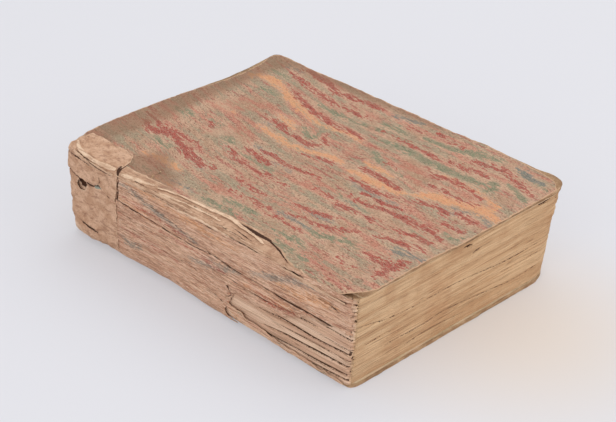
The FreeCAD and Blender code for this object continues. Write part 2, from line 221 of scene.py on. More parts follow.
def cut_sheet(outline, step_u, step_v, holes=()):
    """A grid cut to an outline: points (u, v), quads, and the boundary's directed edges."""
    borders = [np.asarray(border, float) for border in (outline, *holes)]
    low, high = borders[0].min(axis=0), borders[0].max(axis=0)
    us = np.arange(low[0] - step_u, high[0] + 1.5 * step_u, step_u)
    vs = np.arange(low[1] - step_v, high[1] + 1.5 * step_v, step_v)
    cu, cv = np.meshgrid(us[:-1] + step_u / 2, vs[:-1] + step_v / 2, indexing="ij")
    keep = inside(cu, cv, borders[0])
    for hole in borders[1:]:
        keep &= ~inside(cu, cv, hole)
    firm_cells(keep)
    ids = np.arange(len(us) * len(vs)).reshape(len(us), len(vs))
    quads = np.stack([ids[:-1, :-1], ids[1:, :-1], ids[1:, 1:], ids[:-1, 1:]], axis=-1)[keep]
    edges = np.concatenate([quads[:, [k, (k + 1) % 4]] for k in range(4)])
    forward = edges[:, 0] * ids.size + edges[:, 1]
    backward = edges[:, 1] * ids.size + edges[:, 0]
    rim = edges[~np.isin(forward, backward)]
    points = np.stack(np.meshgrid(us, vs, indexing="ij"), axis=-1).reshape(-1, 2)
    on_rim = np.unique(rim)
    points[on_rim] = snapped(points[on_rim], borders)
    used, place = np.unique(quads, return_inverse=True)
    new_id = {old: new for new, old in enumerate(used)}
    return points[used], place.reshape(quads.shape), np.array([(new_id[a], new_id[b]) for a, b in rim])


def closed_sheet(outline, step_u, step_v, top, under, rows=1, edge=None, holes=()):
    """A closed solid between two surfaces, each a function of (u, v). Gives points, faces, the (u, v) of
    each point and its depth from 0 at the top to 1 underneath."""
    uv, quads, rim = cut_sheet(outline, step_u, step_v, holes)
    n = len(uv)
    upper, lower = top(uv[:, 0], uv[:, 1]), under(uv[:, 0], uv[:, 1])
    points, depth, places = [upper], [np.zeros(n)], [uv]
    rim_ids = np.unique(rim)
    spot = {old: k for k, old in enumerate(rim_ids)}
    rings = [rim_ids]
    for row in range(1, rows):
        share = row / rows
        ring = upper[rim_ids] * (1 - share) + lower[rim_ids] * share
        if edge is not None:
            ring = ring + edge(uv[rim_ids], share)
        rings.append(n + (row - 1) * len(rim_ids) + np.arange(len(rim_ids)))
        points.append(ring)
        depth.append(np.full(len(rim_ids), share))
        places.append(uv[rim_ids])
    base = n + (rows - 1) * len(rim_ids)
    points.append(lower)
    depth.append(np.ones(n))
    places.append(uv)
    rings.append(base + rim_ids)
    faces = [tuple(q) for q in quads] + [tuple(base + q[::-1]) for q in quads]
    for above, below in zip(rings, rings[1:]):
        for a, b in rim:
            ka, kb = spot[a], spot[b]
            faces.append((above[kb], above[ka], below[ka], below[kb]))
    return np.vstack(points), faces, np.vstack(places), np.concatenate(depth)


# Node materials.
def colour(red, green, blue):
    """A colour named by its 0 to 255 values, as the shader needs it."""
    linear = [c / 255 / 12.92 if c <= 10 else ((c / 255 + 0.055) / 1.055) ** 2.4 for c in (red, green, blue)]
    return (*linear, 1.0)


# Painted shade for the cracks and grooves, where the paper sinks in.
CRACK_SHADE = (72, 46, 32)


class Shader:
    """A material and short names for its nodes. Lengths are in millimetres, from the pieces' attributes."""

    def __init__(self, name, roughness=0.9, specular=0.2):
        self.material = bpy.data.materials.new(name)
        self.material.use_nodes = True
        self.nodes = self.material.node_tree.nodes
        self.links = self.material.node_tree.links
        self.bsdf = self.nodes["Principled BSDF"]
        self.bsdf.inputs["Roughness"].default_value = roughness
        self.bsdf.inputs["Specular IOR Level"].default_value = specular

    def put(self, socket, value):
        if isinstance(value, bpy.types.NodeSocket):
            self.links.new(value, socket)
        elif value is not None:
            socket.default_value = value

    def attribute(self, name, output="Fac"):
        node = self.nodes.new("ShaderNodeAttribute")
        node.attribute_name = name
        return node.outputs[output]

    def place(self, scale=(1, 1, 1), name="at"):
        node = self.nodes.new("ShaderNodeVectorMath")
        node.operation = "MULTIPLY"
        self.links.new(self.attribute(name, "Vector"), node.inputs[0])
        node.inputs[1].default_value = scale
        return node.outputs[0]

    def noise(self, scale, vector, detail=2.0, roughness=0.5, distortion=0.0):
        node = self.nodes.new("ShaderNodeTexNoise")
        self.put(node.inputs["Vector"], vector)
        node.inputs["Scale"].default_value = scale
        node.inputs["Detail"].default_value = detail
        node.inputs["Roughness"].default_value = roughness
        node.inputs["Distortion"].default_value = distortion
        return node.outputs["Fac"]

    def math(self, operation, a, b=None, c=None, clamp=False):
        node = self.nodes.new("ShaderNodeMath")
        node.operation = operation
        node.use_clamp = clamp
        for socket, value in zip(node.inputs, (a, b, c)):
            self.put(socket, value)
        return node.outputs[0]

    def add(self, a, b):
        return self.math("ADD", a, b)

    def minus(self, a, b):
        return self.math("SUBTRACT", a, b)

    def times(self, a, b):
        return self.math("MULTIPLY", a, b)

    def scaled(self, value, factor, start):
        return self.math("MULTIPLY_ADD", value, factor, start)

    def swing(self, noise, amount):
        """A noise made to swing about zero by up to half the amount."""
        return self.times(self.minus(noise, 0.5), amount)

    def ridge(self, noise, low, high):
        """Thin lines where a noise passes its middle value."""
        return self.span(self.math("ABSOLUTE", self.minus(noise, 0.5)), low, high, 1.0, 0.0)

    def span(self, value, low, high, out_low=0.0, out_high=1.0):
        node = self.nodes.new("ShaderNodeMapRange")
        node.interpolation_type = "SMOOTHSTEP"
        for socket, item in zip(node.inputs, (value, low, high, out_low, out_high)):
            self.put(socket, item)
        return node.outputs[0]

    def mix(self, factor, a, b):
        node = self.nodes.new("ShaderNodeMix")
        node.data_type = "RGBA"
        self.put(node.inputs[0], factor)
        self.put(node.inputs[6], a)
        self.put(node.inputs[7], b)
        return node.outputs[2]

    def mottled(self, noise, low, high, dark, light):
        """Two tints that take turns with a noise."""
        return self.mix(self.span(noise, low, high), colour(*dark), colour(*light))

    def over(self, base, tint, mask, amount=None):
        """A tint laid over a colour by a mask, and by a constant amount of it."""
        if amount is not None:
            mask = self.times(mask, amount)
        return self.mix(mask, base, colour(*tint))

    def layers(self, base, *entries):
        """Tints laid over a colour in turn, each as (noise, its low and high end, amount, tint)."""
        for noise, low, high, amount, tint in entries:
            base = self.over(base, tint, self.span(noise, low, high), amount)
        return base

    def worn(self, name, noise, amount, low, high):
        """A mask from a distance that the piece carries, with an edge made ragged by a noise."""
        return self.span(self.add(self.attribute(name), self.swing(noise, amount)), low, high)

    def finish(self, tint, height=None, depth=0.3):
        self.put(self.bsdf.inputs["Base Color"], tint)
        if height is not None:
            node = self.nodes.new("ShaderNodeBump")
            node.inputs["Strength"].default_value = 1.0
            node.inputs["Distance"].default_value = depth * MM
            self.put(node.inputs["Height"], height)
            self.links.new(node.outputs[0], self.bsdf.inputs["Normal"])
        return self.material


# Noises of the marbling: how fine each is across the flow and along it, its detail, roughness and start.
MARBLE_NOISES = (
    (0.17, 0.022, 3, 0.60, 3.0),
    (0.15, 0.020, 3, 0.60, 17.0),
    (0.42, 0.035, 2, 0.60, 71.0),
    (0.55, 0.120, 3, 0.62, 31.0),
    (1.15, 0.340, 2, 0.65, 47.0),
    (1.90, 0.800, 2, 0.60, 59.0),
)
# The strokes: name, deep and light tint, how soft the edge is, and how well the colour covers.
STROKE_COLOURS = (
    ("green", (96, 104, 80), (134, 138, 108), 0.9, 0.95),
    ("blue", (88, 94, 90), (124, 128, 116), 0.9, 0.92),
    ("orange", (208, 136, 92), (226, 168, 118), 0.9, 0.82),
    ("red", (120, 42, 36), (176, 84, 70), 0.6, 0.97),
)
# The same colours on the rubbed spine: name, tint, and how well it covers.
SPINE_COLOURS = (
    ("orange", (222, 160, 112), 0.75),
    ("green", (146, 140, 114), 0.85),
    ("blue", (134, 132, 120), 0.9),
    ("red", (176, 88, 70), 0.75),
)
# Plain papers and boards: dark, light and stained tint, how fine the streaks are on each axis, and relief.
PLAIN_PAPERS = {
    "endpaper": ((196, 172, 136), (208, 186, 150), (178, 150, 112), (0.05, 1.0, 0.05), 0.1),
    "pasteboard": ((158, 124, 92), (184, 150, 114), (132, 100, 72), (0.05, 0.05, 3.0), 0.25),
    "patch_paper": ((188, 146, 116), (212, 172, 142), (152, 110, 86), (0.42, 0.2, 0.42), 0.5),
    "torn_paper_light": ((208, 172, 142), (236, 206, 176), (176, 134, 106), (1.3, 0.09, 1.3), 0.25),
    "torn_paper_tan": ((180, 140, 112), (206, 168, 138), (150, 108, 82), (1.3, 0.09, 1.3), 0.3),
}
# Noises of the leaves' edges: how fine along the edge and up it, detail, roughness and distortion.
LEAF_NOISES = (
    (0.014, 2.60, 3, 0.7, 0.15),
    (0.050, 5.60, 2, 0.6, 0.2),
    (0.010, 0.22, 3, 0.6, 0.0),
    (0.007, 0.50, 2, 0.5, 0.0),
)


def marbled_material():
    """Noise drawn out along the comb's flow, with the listed strokes over it."""
    s = Shader("marbled_paper", 0.85, 0.25)
    flow = s.place((1, 1, 1), "flow")

    def drawn_out(across, along, detail, roughness, start):
        node = s.nodes.new("ShaderNodeVectorMath")
        node.operation = "MULTIPLY_ADD"
        s.links.new(flow, node.inputs[0])
        node.inputs[1].default_value = (across, along, 1.0)
        node.inputs[2].default_value = (start, start * 0.7, start * 0.3)
        return s.noise(1.0, node.outputs[0], detail, roughness)

    band, band_green, band_red, clump, pebble, speck = (drawn_out(*sizes) for sizes in MARBLE_NOISES)
    mottle = s.noise(0.05, s.place(), 3, 0.6)
    edge_noise = s.add(s.scaled(clump, 13.0, -6.1), s.scaled(pebble, 9.0, -4.5))
    rubbed = s.span(s.minus(s.times(edge_noise, 0.55), s.attribute("pale")), -2.5, 3.0)
    kept = s.minus(1.0, s.times(rubbed, 0.86))

    result = s.mottled(mottle, 0.4, 0.6, (172, 138, 110), (188, 152, 124))
    rosy = s.span(s.add(s.scaled(band, 24.0, -12.6), edge_noise), -1.0, 1.4)
    result = s.over(result, (184, 112, 92), rosy, 0.72)
    greenish = s.span(s.add(s.scaled(band_green, 24.0, -12.4), edge_noise), -1.0, 1.8)
    result = s.over(result, (142, 138, 112), s.times(greenish, kept), 0.78)
    threads = s.span(s.add(s.scaled(band_red, 26.0, -16.6), edge_noise), -0.6, 0.8)
    result = s.over(result, (164, 88, 76), s.times(threads, kept), 0.8)
    brown = s.span(s.add(pebble, s.swing(speck, 0.7)), 0.55, 0.68)
    result = s.over(result, (134, 94, 72), s.times(brown, kept), 0.6)

    shade = s.span(s.add(s.times(speck, 0.6), s.times(pebble, 0.4)), 0.42, 0.58)
    for name, deep, light, softness, cover in STROKE_COLOURS:
        field = s.minus(edge_noise, s.attribute(name))
        mask = s.times(s.span(field, -softness, softness), kept)
        halo = s.times(s.span(field, -3.0, -0.6), s.minus(1.0, mask))
        result = s.over(result, (206, 170, 142), halo, 0.30)
        result = s.mix(s.times(mask, cover), result, s.mix(shade, colour(*deep), colour(*light)))

    result = s.over(result, (216, 176, 150), s.times(s.ridge(pebble, 0.0, 0.034), kept), 0.6)
    result = s.layers(
        result,
        (speck, 0.55, 0.66, 0.50, (108, 74, 58)),
        (speck, 0.43, 0.32, 0.42, (222, 190, 164)),
    )
    # Dirt and painted shade, darker along the head and the fore-edge and below the patch.
    result = s.over(result, (134, 100, 76), s.attribute("soil_and_shade"), 0.62)
    result = s.over(result, (200, 162, 130), s.worn("rim", clump, 3.0, 0.9, 0.2))
    # Painted shade in the cracks.
    result = s.over(result, CRACK_SHADE, s.worn("crack", speck, 1.2, 0.2, -0.15))
    return s.finish(result, s.add(s.times(speck, 0.6), s.times(clump, 0.9)), 0.34)


def plain_paper(name, dark, light, stain, streak_scale, depth):
    """Paper or board without a pattern: mottled, streaked one way and grainy."""
    s = Shader(name, 0.88, 0.2)
    mottle = s.noise(0.13, s.place(), 4, 0.65)
    streak = s.noise(1.0, s.place(streak_scale), 3, 0.6)
    grain = s.noise(1.1, s.place(), 3, 0.65)
    result = s.mottled(mottle, 0.38, 0.62, dark, light)
    result = s.layers(
        result,
        (streak, 0.50, 0.64, 0.60, stain),
        (grain, 0.54, 0.68, 0.45, (138, 100, 74)),
        (grain, 0.44, 0.32, 0.35, (232, 202, 172)),
    )
    bare = s.span(s.times(s.attribute("bare"), s.add(grain, 0.5)), 0.3, 0.7)
    result = s.over(result, (146, 150, 136), bare)
    result = s.over(result, (226, 192, 160), s.worn("rim", streak, 3.0, 0.8, 0.1), 0.6)
    # Painted shade in the cracks and grooves, and along the patch's ledge and flap where the upper paper
    # overhangs.
    result = s.over(result, CRACK_SHADE, s.worn("crack", grain, 1.4, 0.18, -0.12))
    return s.finish(result, s.add(grain, streak), depth)


def spine_material():
    """The spine's paper: the marbling rubbed almost away, and streaked along the spine."""
    s = Shader("spine_paper", 0.85, 0.25)
    streak = s.noise(1.0, s.place((0.42, 0.07, 1.0)), 4, 0.65, 0.3)
    fine = s.noise(1.0, s.place((1.7, 0.13, 1.0)), 3, 0.65, 0.2)
    pebble = s.noise(1.0, s.place((1.1, 0.6, 1.1)), 3, 0.6)
    mottle = s.noise(0.07, s.place((1.0, 0.5, 1.0)), 4, 0.6)
    scuff = s.noise(1.0, s.place((0.5, 0.055, 1.0)), 3, 0.7, 0.4)
    fleck = s.noise(1.0, s.place((1.3, 0.45, 1.0)), 2, 0.7)
    result = s.mottled(mottle, 0.38, 0.62, (200, 154, 124), (218, 174, 142))
    result = s.layers(
        result,
        (streak, 0.50, 0.66, 0.6, (188, 126, 102)),
        (streak, 0.46, 0.34, 0.5, (168, 144, 120)),
    )
    edge_noise = s.add(s.scaled(streak, 9.0, -4.5), s.scaled(pebble, 9.0, -4.5))
    for name, tint, cover in SPINE_COLOURS:
        mask = s.span(s.minus(edge_noise, s.attribute(name)), -1.0, 1.4)
        result = s.over(result, tint, mask, cover)
    result = s.layers(
        result,
        (scuff, 0.53, 0.60, 0.65, (230, 192, 164)),
        (scuff, 0.45, 0.38, 0.60, (140, 96, 74)),
    )
    result = s.over(result, (104, 66, 48), s.ridge(scuff, 0.003, 0.012), 0.55)
    result = s.layers(
        result,
        (fine, 0.54, 0.64, 0.70, (140, 94, 72)),
        (fine, 0.46, 0.36, 0.65, (230, 194, 166)),
        (pebble, 0.60, 0.72, 0.45, (132, 90, 68)),
        (fleck, 0.60, 0.68, 0.70, (238, 206, 178)),
        (fleck, 0.36, 0.29, 0.75, (104, 66, 48)),
    )
    result = s.over(result, (222, 184, 152), s.worn("rim", streak, 4.0, 1.1, 0.2), 0.7)
    # Painted shade in the cracks of the spine's paper.
    result = s.over(result, (74, 46, 32), s.worn("crack", fine, 1.3, 0.22, -0.12))
    return s.finish(result, s.add(s.add(streak, scuff), s.times(fine, 0.8)), 0.6)


def leaves_material():
    """Toned edges of the leaves, and the paler folds of the gatherings at the spine."""
    s = Shader("leaves", 0.9, 0.15)
    fold = s.attribute("fold")
    lines, finer, bundles, gloom = (
        s.noise(1.0, s.place((along, up, 1.0), "leaf"), *rest) for along, up, *rest in LEAF_NOISES
    )
    patch = s.noise(0.04, s.place(), 3, 0.6)
    grain = s.noise(1.1, s.place(), 3, 0.65)
    edges = s.mottled(bundles, 0.40, 0.60, (200, 161, 122), (220, 185, 145))
    edges = s.layers(edges, (patch, 0.46, 0.65, 0.5, (186, 140, 102)))
    result = s.mix(fold, edges, s.mottled(bundles, 0.4, 0.6, (212, 172, 144), (232, 198, 170)))
    strength = s.span(fold, 0.0, 1.0, 0.34, 0.62)
    result = s.over(result, (140, 98, 68), s.times(s.span(lines, 0.53, 0.62), strength))
    result = s.layers(
        result,
        (finer, 0.54, 0.66, 0.5, (142, 100, 70)),
        (finer, 0.45, 0.34, 0.5, (236, 202, 162)),
    )
    result = s.over(result, (112, 76, 50), s.ridge(gloom, 0.003, 0.012), 0.5)
    result = s.layers(result, (grain, 0.58, 0.72, 0.4, (134, 94, 66)))
    # Painted shade in the valleys between the gatherings at the spine.
    result = s.over(result, (96, 62, 42), s.worn("gap", grain, 1.6, 0.45, 0.8), 0.85)
    # Painted shade in the open gaps between folds, the lines between bundles and the frayed ends.
    result = s.over(result, (70, 44, 30), s.worn("crack", grain, 1.6, 0.25, -0.2))
    return s.finish(result, s.add(lines, s.times(finer, 0.6)), 0.3)


def cord_material():
    """Twisted hemp. It reads the object's own coordinates, in metres: CAD nodes carry no attributes."""
    s = Shader("cord", 0.9, 0.1)
    own = s.nodes.new("ShaderNodeTexCoord").outputs["Object"]
    twist = s.nodes.new("ShaderNodeTexWave")
    twist.inputs["Scale"].default_value = 420.0
    twist.inputs["Distortion"].default_value = 2.0
    twist.bands_direction = "DIAGONAL"
    s.links.new(own, twist.inputs["Vector"])
    fibre = s.noise(1500.0, own, 3, 0.6)
    result = s.mix(twist.outputs["Fac"], colour(150, 122, 88), colour(196, 168, 128))
    result = s.layers(result, (fibre, 0.5, 0.7, 0.5, (126, 98, 70)))
    return s.finish(result, twist.outputs["Fac"], 0.3)


# The shape that the covers and leaves share.
SAG, HEAD_CORNER_LIFT, TAIL_CORNER_LIFT, RIPPLE = 1.3, 1.0, 0.9, 0.28
# The bound surface runs down over the front shoulder, the flat of the spine and the back shoulder.
ARC_FRONT, FLAT, ARC_BACK = 7.2, 43.5, 11.0
ROUND_OUT, ROUND_DOWN = 0.9, 0.8
BOUND_LOW = 0.3
# Where the spine ends, and how its ends are worn round.
SPINE_HEAD, SPINE_TAIL = 109.5, -108.5
HEAD_ROUND, HEAD_BACK, TAIL_ROUND = 12.0, 4.6, 3.0
NORMAL_STEP = 0.4
RAGGED_STEP, RAGGED_FINE = 0.45, 0.9


def warp(x, y):
    """How far the top of the closed book stands above or below its level."""
    sag = -SAG * bump(x, 42, 20) * smooth(70, 112, y)
    head_corner = HEAD_CORNER_LIFT * smooth(62, 80, x) * smooth(80, 111, y)
    tail_corner = TAIL_CORNER_LIFT * smooth(60, 78, x) * smooth(-84, -106, y)
    ripple = RIPPLE * fbm(np.asarray(x) / 34.0, np.asarray(y) / 60.0, 11, 2)
    free = smooth(X_JOINT + 1, X_JOINT + 22, x)
    return (sag + head_corner + tail_corner + ripple) * free


def spine_wave(y, t):
    return 0.28 * fbm(np.asarray(y) / 46.0, np.asarray(t) / 14.0, 23, 2)


def back_width(y):
    """How far the back shoulder reaches under the book."""
    return table(
        y, (-111, 1.6), (-85, 1.6), (-70, 2.2), (-55, 3.2), (-41, 4.5), (-24, 5.7), (-11, 6.8), (13, 10),
        (28, 11.6), (50, 10.6), (62, 9.9), (69, 10.4), (80, 9.8), (90, 6.2), (96, 5.0), (106, 6.4),
        (113, 8.6),
    )


def back_depth(y):
    """How high the back shoulder reaches up the spine."""
    return 2.6 + 0.62 * back_width(y)


def worn_end(y):
    """How far the spine stands back where its ends are worn round."""
    y = np.asarray(y, float)
    head = np.clip(y - (SPINE_HEAD - HEAD_ROUND), 0, HEAD_ROUND)
    tail = np.clip(SPINE_TAIL + TAIL_ROUND - y, 0, TAIL_ROUND)
    head_back = HEAD_BACK * (1 - np.sqrt(np.clip(1 - (head / HEAD_ROUND) ** 2, 0.01, None)))
    return head_back + (TAIL_ROUND - np.sqrt(np.clip(TAIL_ROUND**2 - tail**2, 0.3, None)))


def skin(u, y):
    """The bound surface: u is X over the cover, and runs on over the shoulder and down the spine."""
    u, y = np.broadcast_arrays(np.asarray(u, float), np.asarray(y, float))
    t = X_JOINT - u
    x_spine = X_SPINE + spine_wave(y, t) * smooth(2.0, 12.0, t) + worn_end(y)
    low, under = back_depth(y), back_width(y)
    front_turn = np.clip(t / ARC_FRONT, 0, 1) * math.pi / 2
    down = np.clip((t - ARC_FRONT) / FLAT, 0, 1)
    back_turn = np.clip((t - ARC_FRONT - FLAT) / ARC_BACK, 0, 1) * math.pi / 2
    stretches = (t < 0, t < ARC_FRONT, t <= ARC_FRONT + FLAT)
    x_shoulder = X_JOINT - (X_JOINT - x_spine) * np.sin(front_turn) ** ROUND_OUT
    z_shoulder = Z_TOP - FRONT_SHOULDER * (1 - np.cos(front_turn) ** ROUND_DOWN)
    z_flat = (Z_TOP - FRONT_SHOULDER) * (1 - down) + low * down
    x_back = x_spine + under * (1 - np.cos(back_turn))
    z_back = BOUND_LOW + (low - BOUND_LOW) * (1 - np.sin(back_turn))
    x = np.select(stretches, (u, x_shoulder, x_spine), x_back)
    z = np.select(stretches, (Z_TOP + warp(u, y), z_shoulder, z_flat), z_back)
    return np.stack([x, y, z], axis=-1)


def lifted(u, y, lift):
    """The bound surface moved outwards by lift, which may differ from point to point."""
    du = skin(u + NORMAL_STEP, y) - skin(u - NORMAL_STEP, y)
    dv = skin(u, np.asarray(y) + NORMAL_STEP) - skin(u, np.asarray(y) - NORMAL_STEP)
    normal = np.cross(du, dv)
    normal /= np.linalg.norm(normal, axis=-1, keepdims=True) + 1e-12
    return skin(u, y) + normal * np.asarray(lift)[..., None]


def thick(top, thickness):
    """The underside of a sheet whose upper side is top."""
    def under(u, y):
        level = np.zeros_like(u)
        return top(u, y) - (lifted(u, y, level + thickness) - lifted(u, y, level))
    return under


def u_at(y, z):
    """Where a point of the spine, given by its height, lies along the bound surface."""
    low = back_depth(y)
    z = np.asarray(z, float)
    top = Z_TOP - FRONT_SHOULDER
    quarter = math.pi / 2
    turn_front = np.arccos(np.clip(1 - (Z_TOP - z) / FRONT_SHOULDER, 0, 1) ** (1 / ROUND_DOWN)) / quarter
    front = turn_front * ARC_FRONT
    flat = ARC_FRONT + (top - z) / (top - low) * FLAT
    turn_back = np.arcsin(np.clip(1 - (z - BOUND_LOW) / (low - BOUND_LOW), 0, 1)) / quarter
    back = ARC_FRONT + FLAT + turn_back * ARC_BACK
    return X_JOINT - np.where(z > top, front, np.where(z > low, flat, back))


def spine_places(points):
    """Points of the spine given as (y, z), as places (u, y) on the bound surface."""
    return [(float(u_at(y, z)), y) for y, z in points]


def on_spine(width, points):
    return tapered(spine_places(points), width, CRACK_TIP)


def normals(ring):
    """Directions out of a closed outline that runs anticlockwise, at each of its points."""
    tangent = np.roll(ring, -1, axis=0) - np.roll(ring, 1, axis=0)
    tangent /= np.linalg.norm(tangent, axis=1, keepdims=True) + TINY
    return np.stack([tangent[:, 1], -tangent[:, 0]], axis=1)


def lengths(ring):
    """How far along an outline each of its points lies."""
    return np.concatenate([[0], np.cumsum(np.hypot(*np.diff(ring, axis=0).T))])


def ragged(outline, amount, scale, seed, amount_fine=0.0):
    """An outline divided finely, each point moved a little to and fro."""
    corners = np.array(outline, float)
    out = []
    for a, b in zip(corners, np.roll(corners, -1, axis=0)):
        n = max(1, int(np.hypot(*(b - a)) / RAGGED_STEP))
        out += [a + (b - a) * k / n for k in range(n)]
    out = np.array(out)
    along = lengths(out)
    fine = amount_fine * noise(along / RAGGED_FINE, 0.5, seed + 9)
    return out + normals(out) * (amount * fbm(along / scale, 0.5, seed, 3) + fine)[:, None]


def turn(cx, cy, radius, start, steps, ends=0):
    """Points on a quarter circle from an angle in degrees on. With ends=1 the last point is there too."""
    angles = [math.radians(start + 90 * k / steps) for k in range(steps + ends)]
    return [(cx + radius * math.cos(angle), cy + radius * math.sin(angle)) for angle in angles]


def rounded(x0, x1, y0, y1, tail_spine, tail_fore, head_fore, head_spine, steps=8):
    """A rectangle with its own radius at each corner."""
    return (
        turn(x1 - tail_fore, y0 + tail_fore, tail_fore, -90, steps, 1)
        + turn(x1 - head_fore, y1 - head_fore, head_fore, 0, steps, 1)
        + turn(x0 + head_spine, y1 - head_spine, head_spine, 90, steps, 1)
        + turn(x0 + tail_spine, y0 + tail_spine, tail_spine, 180, steps, 1)
    )


def at_places(uv, points):
    """What the materials read as a place: (u, y) on the sheet and the height."""
    return np.column_stack([uv, points[:, 2]])


def hinge_strip(obj):
    """Paper at the joint between the leaves and a cover, with its place baked into its mesh."""
    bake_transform(obj)


# Strokes of colour on the front, in millimetres: half width, and the points each runs through.
RED_STROKES = [
    (3.2, [(-30.4, 99.7), (-35.4, 86.1), (-32.1, 75.7), (-35.4, 65.4), (-40.4, 53.6), (-42.9, 41.7),
        (-42.0, 31.5)]),
    (1.6, [(-23.7, 106.5), (-27.1, 94.5), (-29.6, 80.8), (-28.7, 67.0), (-30.4, 53.4)]),
    (2.0, [(-18.8, 43.0), (-23.8, 34.6), (-26.3, 22.8)]),
    (1.6, [(-26.3, 22.8), (-27.4, 7.6), (-27.4, -9.1)]),
    (2.0, [(-13.8, 36.1), (-16.3, 22.7), (-18.0, 14.3)]),
    (1.3, [(-7.9, 72.6), (-8.8, 66.6)]),
    (1.8, [(-8.9, 27.6), (-10.6, 14.2), (-11.4, 0.8), (-9.0, -15.9)]),
    (2.0, [(19.3, 54.2), (18.4, 44.1), (15.0, 34.0), (13.3, 20.6), (14.9, 12.2), (18.9, 8.8)]),
    (1.3, [(18.9, 9.6), (23.1, 13.8), (27.2, 17.1)]),
    (1.6, [(55.5, 75.6), (48.8, 58.8), (43.7, 43.7), (39.5, 30.3), (40.1, 13.6), (39.2, 0.3)]),
    (2.6, [(76.0, 83.6), (76.6, 73.4), (73.2, 60.0), (69.0, 50.0), (70.5, 39.9), (71.1, 28.2),
        (71.7, 14.9)]),
    (1.5, [(67.9, 85.5), (63.6, 68.6), (60.1, 51.8), (58.3, 40.1), (57.3, 26.7), (57.9, 8.4)]),
    (2.0, [(67.3, -8.3), (67.2, -16.5)]),
    (1.5, [(52.9, -3.2), (51.9, -19.7), (50.9, -34.5), (50.8, -46.0)]),
    (2.2, [(52.3, -50.9), (53.8, -63.9), (53.6, -76.9)]),
    (2.0, [(61.8, -59.0), (64.1, -68.8), (63.1, -83.3), (58.1, -96.2), (54.8, -105.9)]),
    (2.4, [(13.8, -22.7), (13.8, -34.3), (11.2, -52.4)]),
    (1.8, [(2.4, -26.0), (0.7, -42.5), (0.6, -55.7)]),
    (1.8, [(-18.9, -22.5), (-19.7, -34.1)]),
    (2.3, [(-21.3, -39.1), (-22.2, -65.5)]),
    (2.0, [(-19.8, -80.2), (-19.0, -91.6), (-17.4, -104.6)]),
    (2.2, [(-12.3, -39.1), (-11.6, -52.3), (-9.1, -65.5), (-9.2, -78.6), (-8.4, -91.6), (-12.5, -103.0)]),
    (1.6, [(-46.0, -30.7), (-44.4, -45.6), (-41.0, -58.9), (-36.1, -68.8)]),
    (1.3, [(-37.8, -25.7), (-36.6, -39.0), (-32.8, -52.3)]),
    (2.4, [(-47.5, -83.5), (-47.5, -96.6), (-44.2, -106.4)]),
    (3.0, [(-59.8, -102.4), (-49.9, -104.0), (-38.5, -104.7)]),
    (2.4, [(-32.0, -77.0), (-28.4, -88.4), (-26.3, -104.7)]),
    (2.0, [(8.7, -67.1), (10.6, -75.3), (9.4, -88.3)]),
    (4.6, [(2.1, -89.9), (2.0, -104.5)]),
    (4.0, [(14.2, -91.5), (11.7, -102.9)]),
    (1.6, [(2.6, 9.0), (5.0, 0.6), (6.6, -9.4)]),
    (1.2, [(26.2, -60.6), (27.2, -68.8), (25.5, -80.1), (26.2, -91.5)]),
    (1.4, [(38.7, -47.6), (35.4, -55.7), (38.5, -67.1), (36.3, -80.1), (34.3, -89.9)]),
    (1.3, [(27.6, -29.4), (25.1, -37.7)]),
    (1.2, [(-40.3, 14.5), (-41.2, 1.1), (-42.0, -9.0)]),
    (1.3, [(-55.2, -22.3), (-54.3, -35.6), (-55.1, -48.9)]),
    (1.5, [(-59.9, -78.6), (-60.7, -88.5)]),
    (1.4, [(-51.1, 7.9), (-51.1, -8.9), (-50.2, -20.6)]),
    (1.2, [(-5.0, -42.5), (-5.1, -58.9), (-2.7, -73.7)]),
    (1.2, [(71.9, -26.4), (69.3, -36.2), (70.0, -46.0)]),
]
ORANGE_STROKES = [
    (2.6, [(50.9, 102.9), (54.9, 92.6), (52.3, 79.0), (47.2, 67.2), (43.1, 57.2), (39.7, 45.4),
        (36.3, 33.7), (33.8, 27.0)]),
    (2.0, [(9.4, 51.0), (7.6, 37.5), (5.9, 27.4), (5.9, 17.3), (7.5, 8.9), (10.7, -1.1), (9.8, -12.8)]),
    (1.6, [(25.8, 52.4), (23.3, 42.3), (19.9, 33.9)]),
    (3.4, [(8.1, -21.0), (7.3, -34.3), (8.8, -47.5), (9.5, -58.9)]),
    (4.2, [(12.0, -62.2), (16.8, -68.8), (19.9, -76.9), (23.9, -89.9), (24.6, -99.6), (22.1, -109.3)]),
    (1.8, [(20.3, -21.1), (18.6, -31.0), (18.6, -39.3)]),
    (1.6, [(35.4, 23.7), (37.6, 6.9), (35.1, -1.4)]),
    (1.5, [(38.6, -59.0), (38.5, -68.8), (36.2, -88.2), (32.6, -101.2)]),
    (1.4, [(11.2, 86.7), (11.1, 73.1)]),
    (1.4, [(-55.6, 71.0), (-53.8, 55.5), (-55.5, 41.9)]),
    (1.6, [(-70.6, 42.1), (-68.8, 28.5)]),
]
